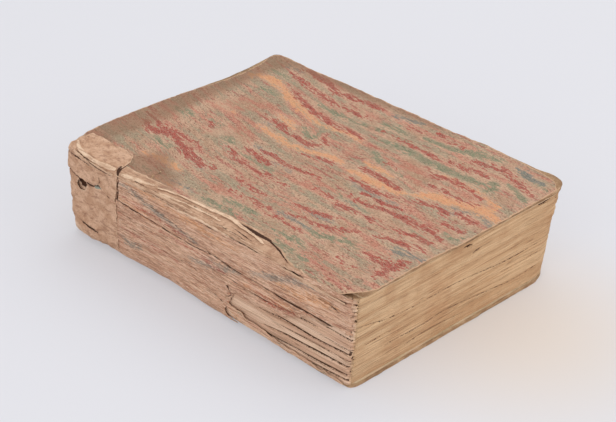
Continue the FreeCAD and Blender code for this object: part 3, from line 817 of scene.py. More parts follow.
GREEN_STROKES = [
    (2.0, [(-3.8, 73.4), (-10.5, 53.0), (-13.8, 48.0)]),
    (3.2, [(-7.8, 99.2), (-8.7, 87.2)]),
    (1.8, [(-40.5, 69.0), (-39.6, 53.6), (-44.6, 38.3)]),
    (1.6, [(-25.4, 14.4), (-25.4, 4.3)]),
    (1.8, [(-67.9, 14.9), (-66.1, 1.3), (-66.9, -12.1)]),
    (2.0, [(-70.0, -45.5), (-72.3, -68.7)]),
    (1.8, [(-45.9, -67.1), (-45.9, -78.6)]),
    (2.0, [(25.6, 30.5), (19.0, 20.5), (28.8, 20.4)]),
    (2.4, [(42.5, 84.3), (42.4, 69.0)]),
    (2.0, [(74.9, 65.0), (69.0, 51.7)]),
    (2.6, [(44.8, -9.7), (46.2, -26.3), (44.4, -42.7), (44.9, -65.5), (45.6, -80.1)]),
    (2.6, [(62.3, -23.1), (63.7, -36.2), (66.8, -47.6), (70.6, -59.0), (72.0, -72.0)]),
    (2.0, [(71.0, -81.7), (66.8, -96.2), (64.3, -107.4)]),
    (1.8, [(27.7, -19.5), (25.1, -31.1), (22.6, -39.3)]),
    (1.6, [(-58.6, 8.0), (-58.6, -7.2), (-59.3, -22.2)]),
    (1.4, [(-14.8, -34.2), (-17.3, -47.4), (-18.1, -58.9)]),
    (1.6, [(-2.5, -34.2), (-3.9, -49.1), (-4.3, -60.6)]),
    (2.4, [(40.7, -85.0), (47.1, -86.6), (50.4, -80.1)]),
    (1.6, [(-66.5, 59.2), (-68.1, 52.3)]),
    (1.6, [(-63.4, -37.2), (-61.7, -52.2), (-64.9, -60.5)]),
    (1.8, [(56.3, 13.4), (61.0, -1.6), (59.2, -13.2)]),
    (2.6, [(64.0, 97.5), (62.1, 82.2)]),
    (1.7, [(30.1, -16.9), (24.7, -29.8), (23.3, -42.8)]),
    (1.7, [(-49.2, -41.4), (-51.2, -54.2), (-48.7, -63.5), (-45.7, -72.3), (-44.3, -83.2)]),
    (1.5, [(-15.3, -85.9), (-17.6, -97.0), (-20.1, -107.0)]),
    (1.4, [(-6.1, -99.1), (-6.2, -106.3), (-0.6, -108.9)]),
    (1.7, [(54.9, -89.6), (51.9, -99.9), (45.8, -108.2)]),
    (1.5, [(50.7, 45.1), (50.0, 29.6), (50.1, 17.2)]),
    (2.0, [(49.9, 13.5), (52.9, 1.5), (53.5, -13.9), (52.9, -25.0)]),
    (1.6, [(-34.9, 89.2), (-42.4, 73.3), (-43.2, 66.1)]),
    (1.6, [(-8.3, 67.7), (-11.3, 55.3), (-16.6, 43.3)]),
    (1.6, [(-20.7, 35.0), (-20.2, 25.6), (-20.8, 15.2), (-21.9, 8.6)]),
]
BLUE_STROKES = [
    (1.8, [(-40.4, 53.6), (-42.9, 41.7), (-46.2, 34.9)]),
    (1.8, [(-8.9, 34.4), (-9.7, 24.3), (-11.4, 20.9)]),
    (1.6, [(-14.7, 14.2), (-14.7, 0.8)]),
    (2.0, [(-49.4, -25.7), (-49.3, -37.3), (-50.1, -47.3)]),
    (1.8, [(-38.6, -34.0), (-37.8, -42.3), (-36.6, -52.3)]),
    (1.6, [(-17.3, -42.4), (-18.1, -52.3)]),
    (1.8, [(-3.4, -49.1), (-4.3, -63.8)]),
    (1.8, [(14.3, -80.2), (18.2, -89.9), (21.4, -98.0), (20.5, -106.0)]),
    (2.0, [(71.6, 6.6), (73.8, -6.7), (74.5, -13.3)]),
    (2.6, [(73.4, -80.1), (70.1, -88.1), (66.8, -101.0)]),
    (1.6, [(15.1, 52.6), (14.3, 47.5)]),
    (1.8, [(-26.2, 104.8), (-26.2, 94.5)]),
    (1.8, [(-65.5, 36.9), (-66.2, 21.6)]),
    (1.6, [(9.2, 20.6), (10.0, 10.6), (14.0, 5.5)]),
    (2.2, [(73.7, 92.1), (74.3, 81.9)]),
    (1.4, [(-32.0, -91.7), (-32.8, -101.4)]),
    (1.8, [(0.4, -29.2), (-2.5, -41.6), (-2.4, -54.8), (-3.3, -66.9)]),
    (1.6, [(13.0, -77.7), (11.3, -88.9), (19.1, -94.0), (19.7, -103.0), (16.9, -109.5)]),
    (1.6, [(-37.6, -88.1), (-35.3, -96.8), (-33.8, -104.8), (-32.2, -109.2)]),
    (1.7, [(-37.3, 60.3), (-40.4, 47.7), (-44.0, 35.8)]),
]
PALE_STROKES = [
    (9.0, [(6.3, 90.3), (19.4, 78.0), (29.2, 64.2)]),
    (7.0, [(-17.1, 65.1), (-3.8, 52.9), (-7.2, 41.1)]),
    (7.0, [(17.2, -7.8), (31.9, -1.3)]),
    (6.5, [(21.7, -55.7), (31.5, -45.9), (38.1, -32.8)]),
    (5.0, [(-43.5, -77.0), (-38.5, -88.4)]),
    (4.5, [(64.4, 13.3), (51.4, 5.1)]),
    (4.0, [(-13.9, -12.6), (-25.4, -19.1)]),
    (4.0, [(-52.0, 14.7), (-62.0, 4.7)]),
]

# Marbled paper over the front, worn through at the joint.
FRONT_EDGE = [
    (-76.6, -106.2), (-72.0, -109.6), (-66.5, -111.6), (-50, -111.3), (-30, -110.8), (-10, -111.5),
    (10, -111.0),
    (30, -111.6), (50, -110.8), (62.5, -110.6), (68.5, -110.2), (72.5, -106.5), (75.5, -100),
    (77.6, -90), (79.8, -74),
    (80.6, -50), (79.6, -25), (80.8, 0), (80.0, 30), (81.0, 55), (80.0, 80), (80.4, 98), (79.4, 106),
    (76.0, 109.5),
    (68, 108.6), (63, 107.4), (53.5, 107.2), (41.5, 107.6), (28.5, 107.4), (17, 109.2), (4, 110.8),
    (-11, 111.6),
    (-30, 112.4), (-48.5, 112.2), (-62, 111.4), (-68.5, 108.8), (-72.5, 105.0), (-75.4, 100),
    (-78.0, 93), (-80.4, 84), (-80.5, 70),
    (-80.0, 60), (-78.6, 50), (-76.4, 38), (-75.0, 30), (-73.8, 22), (-73.0, 14), (-72.0, 4),
    (-71.0, -8), (-70.0, -19),
    (-70.1, -27), (-70.3, -33), (-70.6, -38), (-70.2, -42.4), (-72.4, -46), (-73.8, -50), (-75.4, -56),
    (-77.6, -61), (-79.6, -66),
    (-81.2, -76), (-82.2, -84),
    (-82.0, -94), (-80.4, -101),
]
TOP_CRACKS = [
    [(-79.0, -52, 0.05), (-80.0, -64, 0.3), (-81.4, -77, 0.3), (-82.0, -92, 0.42), (-81.4, -103, 0.3)],
    [(-80.6, 63.6, 0.8), (-76.6, 65.4, 1.3), (-72.0, 66.2, 0.5)],
    [(-71.4, 46.6, 0.5), (-69.2, 48.2, 0.36), (-65.9, 47.0, 0.5), (-63.7, 48.2, 0.45),
        (-61.9, 53.4, 0.05)],
]
# Dirt and painted shade on the front, as (u, y, half width); the long bands along the head and the fore-edge
# are painted shade.
SOIL_AND_SHADE = [
    [(-78, 60, 2.0), (-70, 58, 4.0), (-64, 64, 4.0)],
    [(-60, 106, 4.0), (-66, 96, 3.0)], [(-58, 60, 4.0), (-66, 50, 4.0),
        (-70, 36, 2.0)], [(-40, 108, 3.0), (-10, 110, 2.0)],
    [(70, 104, 6.0), (76, 98, 4.0)], [(-70, 112, 10.0), (-30, 112, 14.0), (20, 112, 11.0),
        (78, 110, 9.0)],
    [(82, 100, 5.0), (82, 40, 3.0), (82, -20, 1.0)],
]
RIDGE = [
    (-54.4, 108.1, 0.4), (-59.1, 97.0, 0.5), (-59.8, 84.9, 0.5), (-58.9, 72.8, 0.5), (-62.3, 60.8, 0.2),
]
# How much of its width each colour of stroke keeps.
STROKES = {
    "red": (RED_STROKES, 0.74), "orange": (ORANGE_STROKES, 0.85), "green": (GREEN_STROKES, 1.0),
    "blue": (BLUE_STROKES, 0.8), "pale": (PALE_STROKES, 1.0),
}
# What the fields of the marbling say where there is no stroke, no crack, and neither dirt nor painted shade.
BLANK = {**dict.fromkeys(STROKES, CLEAR), "crack": CLEAR, "soil_and_shade": 0.0}
PAPER_STEP = 1.0


def flow_at(u, y):
    """Coordinates that follow the comb's strokes: across them, and along them."""
    bend = table(
        y, (-111, -7.0), (-80, -4.0), (-40, -1.0), (-10, 0.0), (10, 1.6), (30, 5.0), (60, 11.8), (111, 23.5),
    )
    return np.stack([u - bend + 1.1 * noise(u / 16.0, y / 22.0, 91), y, np.zeros_like(u)], axis=1)


def marbled_fields(u, y, outline):
    fields = {name: distance(u, y, strokes(entries, share), 3) for name, (entries, share) in STROKES.items()}
    fields["rim"] = rim_distance(u, y, outline)
    fields["crack"] = distance(u, y, TOP_CRACKS)
    fields["soil_and_shade"] = smooth(9.0, 0.0, distance(u, y, SOIL_AND_SHADE))
    return fields


def make_front_paper(material):
    outline = ragged(FRONT_EDGE, 0.35, 5.0, 301, 0.12)

    def top(u, y):
        relief = 0.06 + 0.10 * fbm(u / 3.0, y / 6.0, 31, 3) + 0.35 * smooth(1.2, 0.0, distance(u, y, [RIDGE]))
        relief = relief - 0.45 * smooth(0.5, -0.2, distance(u, y, TOP_CRACKS))
        worn = smooth(-70.5, -73.5, u) * smooth(42, 26, y) * smooth(-74, -56, y)
        return lifted(u, y, relief + worn * (0.55 + 0.3 * noise(y / 5.0, 0.1, 33)))

    points, faces, uv, depth = closed_sheet(outline, PAPER_STEP, PAPER_STEP, top, thick(top, 0.28))
    upper = depth == 0
    attributes = {}
    for key, values in marbled_fields(uv[upper, 0], uv[upper, 1], outline).items():
        attributes[key] = np.full(len(points), BLANK.get(key, 0.0))
        attributes[key][upper] = values
    attributes["flow"] = flow_at(uv[:, 0], uv[:, 1])
    attributes["at"] = at_places(uv, points)
    obj = make_piece("marbled_front", points, faces, material, attributes)
    hinge_strip(obj)
    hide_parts("front_cover_paper")


# Plain paper patch over the head of the spine and the corner of the front.
PATCH_EDGE = [
    (-61.5, 107.5), (-61.0, 98), (-61.8, 90), (-61.2, 80), (-62.6, 72), (-66.0, 68.4), (-70.5, 66.6),
    (-75.5, 65.2),
    (-79.5, 65.4), (-84.0, 64.2), (-92, 64.8), (-100, 65.4), (-112, 66.2), (-124, 66.0), (-130.5, 66.8),
    (-131.2, 75),
    (-130.0, 84), (-128.8, 92), (-126.4, 98), (-123.4, 103), (-118, 106.4), (-108, 107.2), (-96, 106.6),
    (-86, 106.8),
    (-80, 106.6), (-73, 107.2), (-68.5, 108.8),
]
PATCH_HOLE = [
    (-95.6, 97.2), (-94.8, 94.4), (-95.4, 91.8), (-97.4, 90.6), (-99.8, 91.8), (-101.0, 94.2),
    (-100.0, 96.8), (-97.8, 98.0),
]
PATCH_LEDGE = ((66, 36.6), (72.7, 37.6), (79, 41.4), (84, 40.0), (87.7, 39.0), (94, 39.6), (101, 41.4),
    (110, 43.0))
PATCH_CRACKS = [
    on_spine(0.75, [(108, 41.4), (101, 40.0), (94, 38.5), (87.7, 37.7), (84.0, 38.6)]),
    on_spine(0.5, [(84.0, 38.7), (80.0, 40.2), (76.0, 38.6), (72.7, 36.4), (69.0, 35.7), (65.6, 35.9)]),
    on_spine(0.34, [(80.0, 41.2), (78.4, 43.4), (78.9, 46.0)]),
    on_spine(0.42, [(107.0, 51.6), (99, 51.2), (92, 50.6), (86.0, 50.2)]),
    on_spine(0.20, [(101.0, 54.0), (94, 53.4), (88, 52.9), (82.0, 52.4)]),
    on_spine(0.85, [(98.6, 12.4), (94, 11.0), (89.0, 10.2), (84.0, 9.8)]),
    [(-76.0, 67.0, 0.9), (-78.5, 65.6, 0.7), (-82.0, 65.2, 0.5)],
]
PATCH_FOLD = [on_spine(0.3, [(99.0, 14.4), (92, 13.0), (84.0, 12.2)])]
PATCH_BARE = [on_spine(0.9, [(83.0, 38.6), (80.5, 39.6), (78.3, 39.6)])]
PATCH_STEP = 0.7


def patch_lift(u, y, hole):
    """How far the patch stands off the bound surface: its ledge, and what stands up or sinks in on it."""
    lift = 0.34 + 0.2 * fbm(u / 3.0, y / 3.4, 41, 3)
    lift = lift + 0.3 * noise((u + y) / 2.4, (u - y) / 9.0, 47) * smooth(-94, -102, u)
    ledge = u - u_at(y, np.interp(y, *zip(*PATCH_LEDGE)))
    lift = lift + 0.85 * smooth(-0.25, 0.15, ledge) * smooth(13.0, 0.0, ledge)
    near_hole = rim_distance(u, y, hole)
    lift = lift + 0.9 * smooth(1.6, 0.0, near_hole) * smooth(93.5, 96.0, y)
    lift = lift - 0.3 * smooth(5.0, 1.0, near_hole) * (ledge < 0)
    lift = lift + 0.9 * smooth(1.6, 0.0, distance(u, y, PATCH_FOLD))
    lift = lift + 0.15 * smooth(67.5, 65.5, y) * smooth(-84, -90, u)
    return lift - 0.6 * smooth(0.5, -0.2, distance(u, y, PATCH_CRACKS))


def make_patch(material):
    outline = ragged(PATCH_EDGE, 0.45, 4.0, 401, 0.15)
    hole = ragged(PATCH_HOLE, 0.3, 2.0, 411, 0.1)

    def top(u, y):
        return lifted(u, y, patch_lift(u, y, hole))

    under = thick(top, 0.22)
    points, faces, uv, depth = closed_sheet(outline, PATCH_STEP, PATCH_STEP, top, under, holes=[hole])
    u, y = uv.T
    edge = np.minimum(rim_distance(u, y, outline), rim_distance(u, y, hole))
    attributes = {
        "rim": np.where(depth > 0, 0.0, edge),
        "crack": distance(u, y, PATCH_CRACKS),
        "bare": smooth(0.8, -0.3, distance(u, y, PATCH_BARE)),
        "at": at_places(uv, points),
    }
    obj = make_piece("head_patch", points, faces, material, attributes)
    hinge_strip(obj)
    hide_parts("spine_patch", "front_patch")


# Torn layers of paper and board left along the front shoulder.
SHOULDER_GROOVES = [
    [(-77.2, 24, 0.02), (-76.0, 10, 0.12), (-75.6, -6, 0.05)],
    [(-79.2, 56, 0.05), (-78.9, 44, 0.12), (-78.6, 34, 0.02)],
    [(-78.4, -4, 0.02), (-78.6, -20, 0.15), (-79.4, -34, 0.12)],
    [(-81.2, 40, 0.02), (-81.0, 28, 0.12), (-81.2, 8, 0.02)],
    [(-71.0, -20, 0.2), (-71.3, -28, 0.8), (-72.0, -37, 1.2), (-72.0, -43, 0.9), (-73.6, -48, 0.5),
        (-76.0, -56, 0.35), (-79.0, -64, 0.2)],
    [(-80.6, 63.6, 0.8), (-76.6, 65.4, 1.3), (-72.0, 66.2, 0.5)],
    [(-75.9, -20, 0.05), (-77.0, -30, 0.25), (-78.0, -38, 0.1)],
    [(-81.6, -20, 0.02), (-81.9, -34, 0.2), (-82.2, -44, 0.05)],
    [(-80.6, 92, 0.1), (-82.6, 80, 0.25), (-83.0, 68, 0.15)],
]
# Each shred: piece, tone, lift, thickness, raggedness, curl, and its line as (u, y, half width).
SHREDS = (
    ("shoulder_layer", "tan", 0.1, 0.3, 0.4, 0.0, [
        (-77.6, 67, 4.6), (-77.2, 50, 4.9), (-76.6, 20, 5.4), (-76.2, -10, 6.0), (-75.4, -40, 6.4),
        (-78.6, -62, 3.8), (-81.0, -76, 1.0),
    ]),
    ("shoulder_shred_1", "light", 0.62, 0.25, 0.3, 0.3, [
        (-76.8, 36, 0.2), (-75.2, 28, 0.5), (-73.9, 19, 0.7), (-73.1, 9, 0.8), (-72.3, -3, 0.9),
        (-71.6, -14, 1.1), (-72.8, -23, 1.0), (-74.4, -33, 0.7), (-76.0, -42, 0.4), (-77.4, -50, 0.1),
    ]),
    ("shoulder_shred_2", "light", 0.34, 0.2, 0.45, 0.2, [
        (-78.8, 34, 0.1), (-77.6, 22, 0.5), (-76.4, 8, 0.4), (-76.0, -6, 0.6), (-76.6, -16, 0.1),
    ]),
    ("shoulder_shred_3", "tan", 0.42, 0.25, 0.45, 0.25, [
        (-81.0, 58, 0.2), (-80.4, 46, 0.8), (-79.6, 30, 0.5), (-79.2, 14, 0.7), (-79.8, 0, 0.1),
    ]),
    ("shoulder_shred_4", "light", 0.44, 0.3, 0.4, 0.2, [
        (-79.4, 61.5, 0.7), (-78.4, 55, 1.2), (-77.4, 46, 0.9), (-76.2, 38, 0.4),
    ]),
    ("shoulder_shred_5", "light", 0.4, 0.25, 0.45, 0.25, [
        (-82.2, 22, 0.1), (-82.0, 10, 0.5), (-81.4, -6, 0.6), (-81.6, -20, 0.3), (-82.0, -30, 0.1),
    ]),
    ("shoulder_shred_6", "tan", 0.4, 0.25, 0.4, 0.25, [
        (-78.8, -8, 0.1), (-78.6, -20, 0.5), (-79.4, -36, 0.6), (-80.6, -50, 0.3), (-81.4, -58, 0.1),
    ]),
    ("shoulder_shred_7", "tan", 0.42, 0.25, 0.3, 0.2, [
        (-83.2, -58, 0.2), (-83.6, -72, 0.8), (-84.4, -88, 0.9), (-84.6, -104, 0.5),
    ]),
    ("head_ridge_1", "light", 0.95, 0.6, 0.25, 0.15, [
        (-71.0, 106.8, 0.3), (-74.4, 104.0, 0.8), (-77.0, 99.5, 1.0), (-78.8, 93, 1.0),
        (-79.6, 84, 1.0), (-79.4, 74, 1.2), (-78.8, 66.5, 0.8),
    ]),
    ("head_ridge_2", "tan", 0.85, 0.45, 0.3, 0.15, [
        (-78.8, 102.4, 0.3), (-80.4, 97, 0.7), (-81.8, 90, 0.9), (-82.4, 79, 0.9), (-82.2, 67, 0.6),
    ]),
)
# The loose tongue low on the spine, as (y, z, half width), and the colour left on it.
LOW_SHRED = [
    (-17.0, 12.5, 0.6), (-26, 9.6, 1.8), (-38, 7.2, 2.2), (-52, 5.8, 1.6), (-66, 4.8, 1.2), (-82, 4.0, 1.3),
    (-98, 3.4, 1.0), (-107, 3.0, 0.4),
]
LOW_FIELDS = {
    "red": [(1.2, [(-38, 9.2), (-46, 7.8)]), (0.9, [(-78, 5.4), (-84, 4.8)])],
    "green": [(1.0, [(-86, 4.6), (-92, 4.2)]), (0.8, [(-30, 10.4), (-34, 9.6)])],
    "blue": [(0.8, [(-56, 6.2), (-62, 5.4)])],
    "orange": [(0.9, [(-24, 8.4), (-30, 7.2)]), (0.8, [(-68, 5.6), (-74, 5.0)])],
}
STRIP_STEPS = (0.4, 0.8)


def torn_strip(name, line, material, lift, thickness, seed, rough, curl, fields=None):
    """A long shred of paper along a line of (u, y, half width). A shred with fields of colour lies on the
    spine and stays there, and the others keep their place, baked into their mesh."""
    middle = catmull(line, 8)
    sign = 1.0 if middle[-1, 1] > middle[0, 1] else -1.0
    outer = [(u + sign * w, y) for u, y, w in middle]
    inner = [(u - sign * w, y) for u, y, w in middle[::-1]]
    outline = ragged(outer + inner, rough, 3.5, seed, rough * 0.45)

    def top(u, y):
        wave = 0.12 * fbm(u / 1.5, y / 9.0, seed + 2, 2)
        curled = curl * (0.5 + 0.5 * noise(y / 6.0, 0.3, seed + 5))
        return lifted(u, y, lift + wave + curled * smooth(1.6, 0.0, rim_distance(u, y, outline)))

    points, faces, uv, depth = closed_sheet(outline, *STRIP_STEPS, top, thick(top, thickness))
    u, y = uv.T
    attributes = {
        "at": at_places(uv, points),
        "rim": rim_distance(u, y, outline),
        "crack": distance(u, y, SHOULDER_GROOVES),
    }
    for key, entries in (fields or {}).items():
        attributes[key] = distance(u, y, [on_spine(width, line) for width, line in entries])
    obj = make_piece(name, points, faces, material, attributes)
    if fields:
        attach(obj, "text_block")
    else:
        hinge_strip(obj)


def make_shreds(materials):
    for index, (name, tone, lift, thickness, rough, curl, line) in enumerate(SHREDS):
        torn_strip(name, line, materials[tone], lift, thickness, 701 + 13 * index, rough, curl)
    low = [(float(u_at(y, z)), y, width) for y, z, width in LOW_SHRED]
    torn_strip("spine_shred_low", low, materials["spine_paper"], 0.25, 0.3, 871, 0.7, 0.5, LOW_FIELDS)


# Marbled paper over the spine: where it is lost, as (Y, Z), and its edge along the front joint, as (u, Y).
SPINE_LOSS = [
    (-26, 2.0), (-21, 4.0), (-18.5, 8.0), (-21.5, 12.5), (-25.5, 20.6), (-40, 20.2), (-52, 20.8),
    (-60, 22.4), (-66, 24.0), (-72, 26.6), (-77, 30.2), (-84, 31.4), (-92, 31.9), (-103, 32.4),
    (-108.0, 32.8), (-106.8, 34.6), (-108.8, 36.2), (-107.4, 38.4), (-108.6, 40.6), (-107.0, 42.6),
    (-108.9, 44.4), (-107.8, 47.0),
]
SPINE_JOINT_EDGE = [
    (-80.8, -108.6), (-80.6, -92), (-80.0, -76), (-80.8, -62), (-81.9, -52), (-82.2, -30), (-82.0, 0),
    (-82.3, 30), (-82.2, 60), (-82.4, 72),
]
SPINE_HEAD_EDGE = [(-90, 71.6), (-110, 71.9), (-130, 71.4)]
BACK_REACH = 0.72


def spine_outline():
    low = X_JOINT - ARC_FRONT - FLAT - ARC_BACK * BACK_REACH
    bottom = [(low + 0.8 * math.sin(y / 6.0), y) for y in np.arange(104, -27, -4.0) if y < 71]
    return SPINE_JOINT_EDGE + SPINE_HEAD_EDGE + bottom + spine_places(SPINE_LOSS)


SPINE_CRACKS = [
    (0.34, [(66, 38.4), (55, 37.2), (38.3, 36.4), (23.3, 35.4), (0.8, 34.8), (-10.6, 36.0),
        (-22.5, 34.3), (-48.0, 33.8)]),
    (0.40, [(-44.0, 34.0), (-60.8, 32.9), (-81.0, 32.9), (-92, 32.6), (-110, 32.4)]),
    (0.30, [(-24.3, 21.5), (-20.5, 22.4), (-23.0, 18.0), (-18.9, 14.8)]),
    (0.24, [(-10.5, 13.5), (-15.8, 11.6), (-21.0, 11.0)]),
    (0.5, [(64.0, 53.6), (63.4, 50.1), (64.3, 46.6), (63.9, 42.6), (64.6, 39.6), (64.2, 36.6)]),
    (0.22, [(39.1, 52.6), (6.6, 51.6), (-20, 50.6)]),
    (0.2, [(-50.0, 52.6), (-66, 51.9), (-76.0, 51.8)]),
    (0.36, [(-56.0, 52.6), (-66, 51.4), (-82.0, 49.4), (-96, 48.8), (-108, 50.4)]),
    (0.22, [(-5.3, 28.7), (-37.8, 26.6), (-60, 26.8), (-74, 30.0)]),
    (0.20, [(62.5, 24.6), (53.0, 24.5), (43.3, 25.4)]),
    (0.16, [(58.8, 46.0), (33.0, 44.0), (10.5, 39.9)]),
    (0.16, [(17.6, 23.6), (4.8, 21.8), (-14.4, 17.7)]),
    (0.18, [(66, 31.0), (40, 29.6), (22, 29.0)]),
    (0.28, [(-86, 44.2), (-96, 43.6), (-100.5, 42.2)]),
]
SPINE_BLUE = [
    (1.7, [(61.9, 48.6), (50.7, 47.8), (39.5, 44.3), (17.0, 40.1), (1.0, 37.4)]),
    (1.4, [(-2, 31.8), (-18.5, 32.1), (-30, 33.5)]),
    (1.6, [(-38.5, 37.4), (-55.4, 42.5), (-75.9, 48.5), (-88, 48.6)]),
    (2.0, [(62.7, 16.9), (54.8, 14.4), (46.8, 16.0)]),
    (1.6, [(8, 26.1), (-8.6, 29.0), (-24, 31.5)]),
]
SPINE_ORANGE = [
    (2.6, [(-56, 41.0), (-68.6, 40.4), (-88.8, 42.5), (-99.0, 44.2)]),
    (1.6, [(64, 52.3), (26.3, 50.0), (-6.2, 47.6), (-30, 46.8)]),
    (1.5, [(-34.8, 30.3), (-54.5, 28.5), (-67.8, 30.2)]),
    (1.0, [(66, 40.4), (40, 38.2)]),
]
SPINE_RED = [
    (0.9, [(64, 41.5), (39.6, 40.0), (10.6, 38.0)]),
    (1.2, [(62, 22.7), (40.2, 21.3), (17.8, 19.3)]),
    (1.8, [(-38.2, 31.0), (-54.4, 26.8), (-69.3, 27.6)]),
    (1.0, [(30, 33), (0, 32), (-20, 28)]),
]
SPINE_STEPS = (0.62, 0.8)
SPINE_FIELDS = {"blue": SPINE_BLUE, "orange": SPINE_ORANGE, "red": SPINE_RED}


def make_spine_paper(material):
    outline = ragged(spine_outline(), 0.55, 4.5, 501, 0.22)
    cracks = [on_spine(width, points) for width, points in SPINE_CRACKS]

    def top(u, y):
        t = X_JOINT - u
        gap = distance(u, y, cracks)
        crack = smooth(0.45, -0.25, gap)
        lip = 0.34 * smooth(1.8, 0.4, gap) * (1 - crack)
        wrinkle = 0.16 * fbm(t / 1.5, y / 22.0, 53, 3) * smooth(2, 9, t) + 0.3 * fbm(t / 4.2, y / 30.0, 59, 2)
        flare = smooth(ARC_FRONT + FLAT + 2, ARC_FRONT + FLAT + 9, t) * (0.5 + 0.5 * noise(y / 7.0, 0.2, 57))
        return lifted(u, y, 0.02 + wrinkle + lip + flare - 0.9 * crack)

    points, faces, uv, depth = closed_sheet(outline, *SPINE_STEPS, top, thick(top, 0.32))
    u, y = uv.T
    edge = rim_distance(u, y, outline, lambda middle: middle > 70 or middle < -106)
    attributes = {
        "rim": np.where(depth > 0, 0.0, 0.45 + edge),
        "crack": distance(u, y, cracks),
        "green": np.full(len(u), CLEAR),
        "at": at_places(uv, points),
    }
    for key, entries in SPINE_FIELDS.items():
        attributes[key] = distance(u, y, [on_spine(width, line) for width, line in entries])
    obj = make_piece("spine_paper", points, faces, material, attributes)
    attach(obj, "text_block")
    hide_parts("spine_cover")


# Open gaps between the folds, and the fringe of their ends, as (Y, Z, half width).
FOLD_GAPS = [
    [(98.0, 36.8, 1.2), (94.4, 35.2, 2.2), (91.4, 34.0, 1.2)],
    [(-22.0, 20.4, 0.2), (-34, 19.8, 0.3), (-44.9, 19.6, 0.42), (-62.8, 20.2, 0.5), (-82.4, 19.4, 0.5),
        (-101.5, 20.3, 0.4), (-110, 20.6, 0.3)],
    [(-46.0, 10.4, 0.15), (-60, 11.6, 0.4), (-71.9, 12.1, 0.5), (-91.4, 12.7, 0.55),
        (-101.6, 13.0, 0.4), (-110, 13.4, 0.3)],
    [(-62.0, 25.6, 0.1), (-74, 26.4, 0.3), (-84, 26.6, 0.2)],
    [(-58.0, 15.6, 0.1), (-72, 16.0, 0.25), (-90, 16.4, 0.2), (-108, 17.0, 0.1)],
    [(-32.0, 7.0, 0.2), (-48, 6.2, 0.4), (-66, 6.8, 0.3), (-84, 7.2, 0.5), (-104, 8.2, 0.4)],
    [(-78.0, 3.9, 0.2), (-92, 4.6, 0.4), (-106, 5.4, 0.3)],
    [(-84.0, 30.2, 0.2), (-96, 29.6, 0.3), (-109, 29.4, 0.3)],
    [(-86.0, 23.4, 0.1), (-98, 23.0, 0.3), (-109, 23.4, 0.2)],
]

# Lines between bundles of leaves at the tail, as (X, Z, half width).
TAIL_LINES = [
    [(-80, 37.6, 0.06), (-68, 34.6, 0.12), (-54, 31.8, 0.14), (-29.6, 30.6, 0.1), (-6, 30.7, 0.16),
        (25.6, 27, 0.1), (48, 26.2, 0.12), (70, 25.8, 0.04)],
    [(-55.6, 15.8, 0.04), (-28.9, 15.1, 0.12), (-8.9, 16, 0.1), (21.2, 12.7, 0.12), (42.9, 10.5, 0.1),
        (63.2, 10.9, 0.04)],
    [(-2.0, 49.9, 0.1), (1.0, 49.7, 0.5), (4.0, 49.2, 0.1)],
    [(55.0, 51.2, 0.2), (59.0, 51.6, 1.1), (62.5, 51.8, 0.9), (65.0, 51.4, 0.1)],
    [(5.0, 43.2, 0.1), (8.2, 43.8, 0.36), (12, 44.2, 0.1)],
    [(-74, 22.5, 0.03), (-60, 23.5, 0.08), (-44, 22.6, 0.03)],
    [(-40, 8.4, 0.03), (-20, 9.0, 0.08), (6, 7.2, 0.03)],
    [(30, 20.4, 0.03), (48, 19.2, 0.08), (66, 19.4, 0.03)],
    [(70.0, 48.2, 0.3), (74.0, 49.4, 1.1), (77.0, 49.8, 1.2), (79.0, 49.4, 0.4)],
]


# The leaves: one block of gatherings, with its folds at the spine and its worn edges.
ROWS_PER_GATHERING = 8
TOP_RINGS = (0.97, 0.9, 0.78, 0.6, 0.35)
BLOCK_SPINE, BLOCK_FORE, BLOCK_TAIL, BLOCK_HEAD = -79.6, 79.4, -109.6, 110.0
# Steps round each corner and along each side. On the spine they lie closer together towards the tail.
CORNER_STEPS, TAIL_STEPS, FORE_STEPS, HEAD_STEPS, SPINE_SIDE_STEPS = 9, 170, 88, 66, 190
TAILWARD = 0.72
# How the cut edges step in and out: amount, its length up the edge and along it, and seed.
LEDGES = ((0.28, GATHERING, 90.0, 71), (0.2, 0.5, 30.0, 73), (0.12, 0.32, 6.0, 75))


def straight(a, b, count, power=1.0):
    """Points from a on towards b. A power under 1 sets them closer together towards b."""
    shares = [(k / count) ** power for k in range(count)]
    return [(a[0] + (b[0] - a[0]) * share, a[1] + (b[1] - a[1]) * share) for share in shares]


def block_ring(level):
    """The block's outline at a height from 0 to 1, from the spine's end of the tail round to there again."""
    tail = BLOCK_TAIL + 4.4 * (1 - level) ** 1.15
    fore = BLOCK_FORE - 1.2 * math.sin(math.pi * level)
    fore_tail, fore_head, spine_head, spine_tail = 19 - 8 * level, 4, 8, 2.5
    spine_from, spine_to = (BLOCK_SPINE, BLOCK_HEAD - spine_head), (BLOCK_SPINE, tail + spine_tail)
    return np.array(
        straight((BLOCK_SPINE + spine_tail, tail), (fore - fore_tail, tail), TAIL_STEPS)
        + turn(fore - fore_tail, tail + fore_tail, fore_tail, -90, CORNER_STEPS)
        + straight((fore, tail + fore_tail), (fore, BLOCK_HEAD - fore_head), FORE_STEPS)
        + turn(fore - fore_head, BLOCK_HEAD - fore_head, fore_head, 0, CORNER_STEPS)
        + straight((fore - fore_head, BLOCK_HEAD), (BLOCK_SPINE + spine_head, BLOCK_HEAD), HEAD_STEPS)
        + turn(BLOCK_SPINE + spine_head, BLOCK_HEAD - spine_head, spine_head, 90, CORNER_STEPS)
        + straight(spine_from, spine_to, SPINE_SIDE_STEPS, TAILWARD)
        + turn(BLOCK_SPINE + spine_tail, tail + spine_tail, spine_tail, 180, CORNER_STEPS)
    )


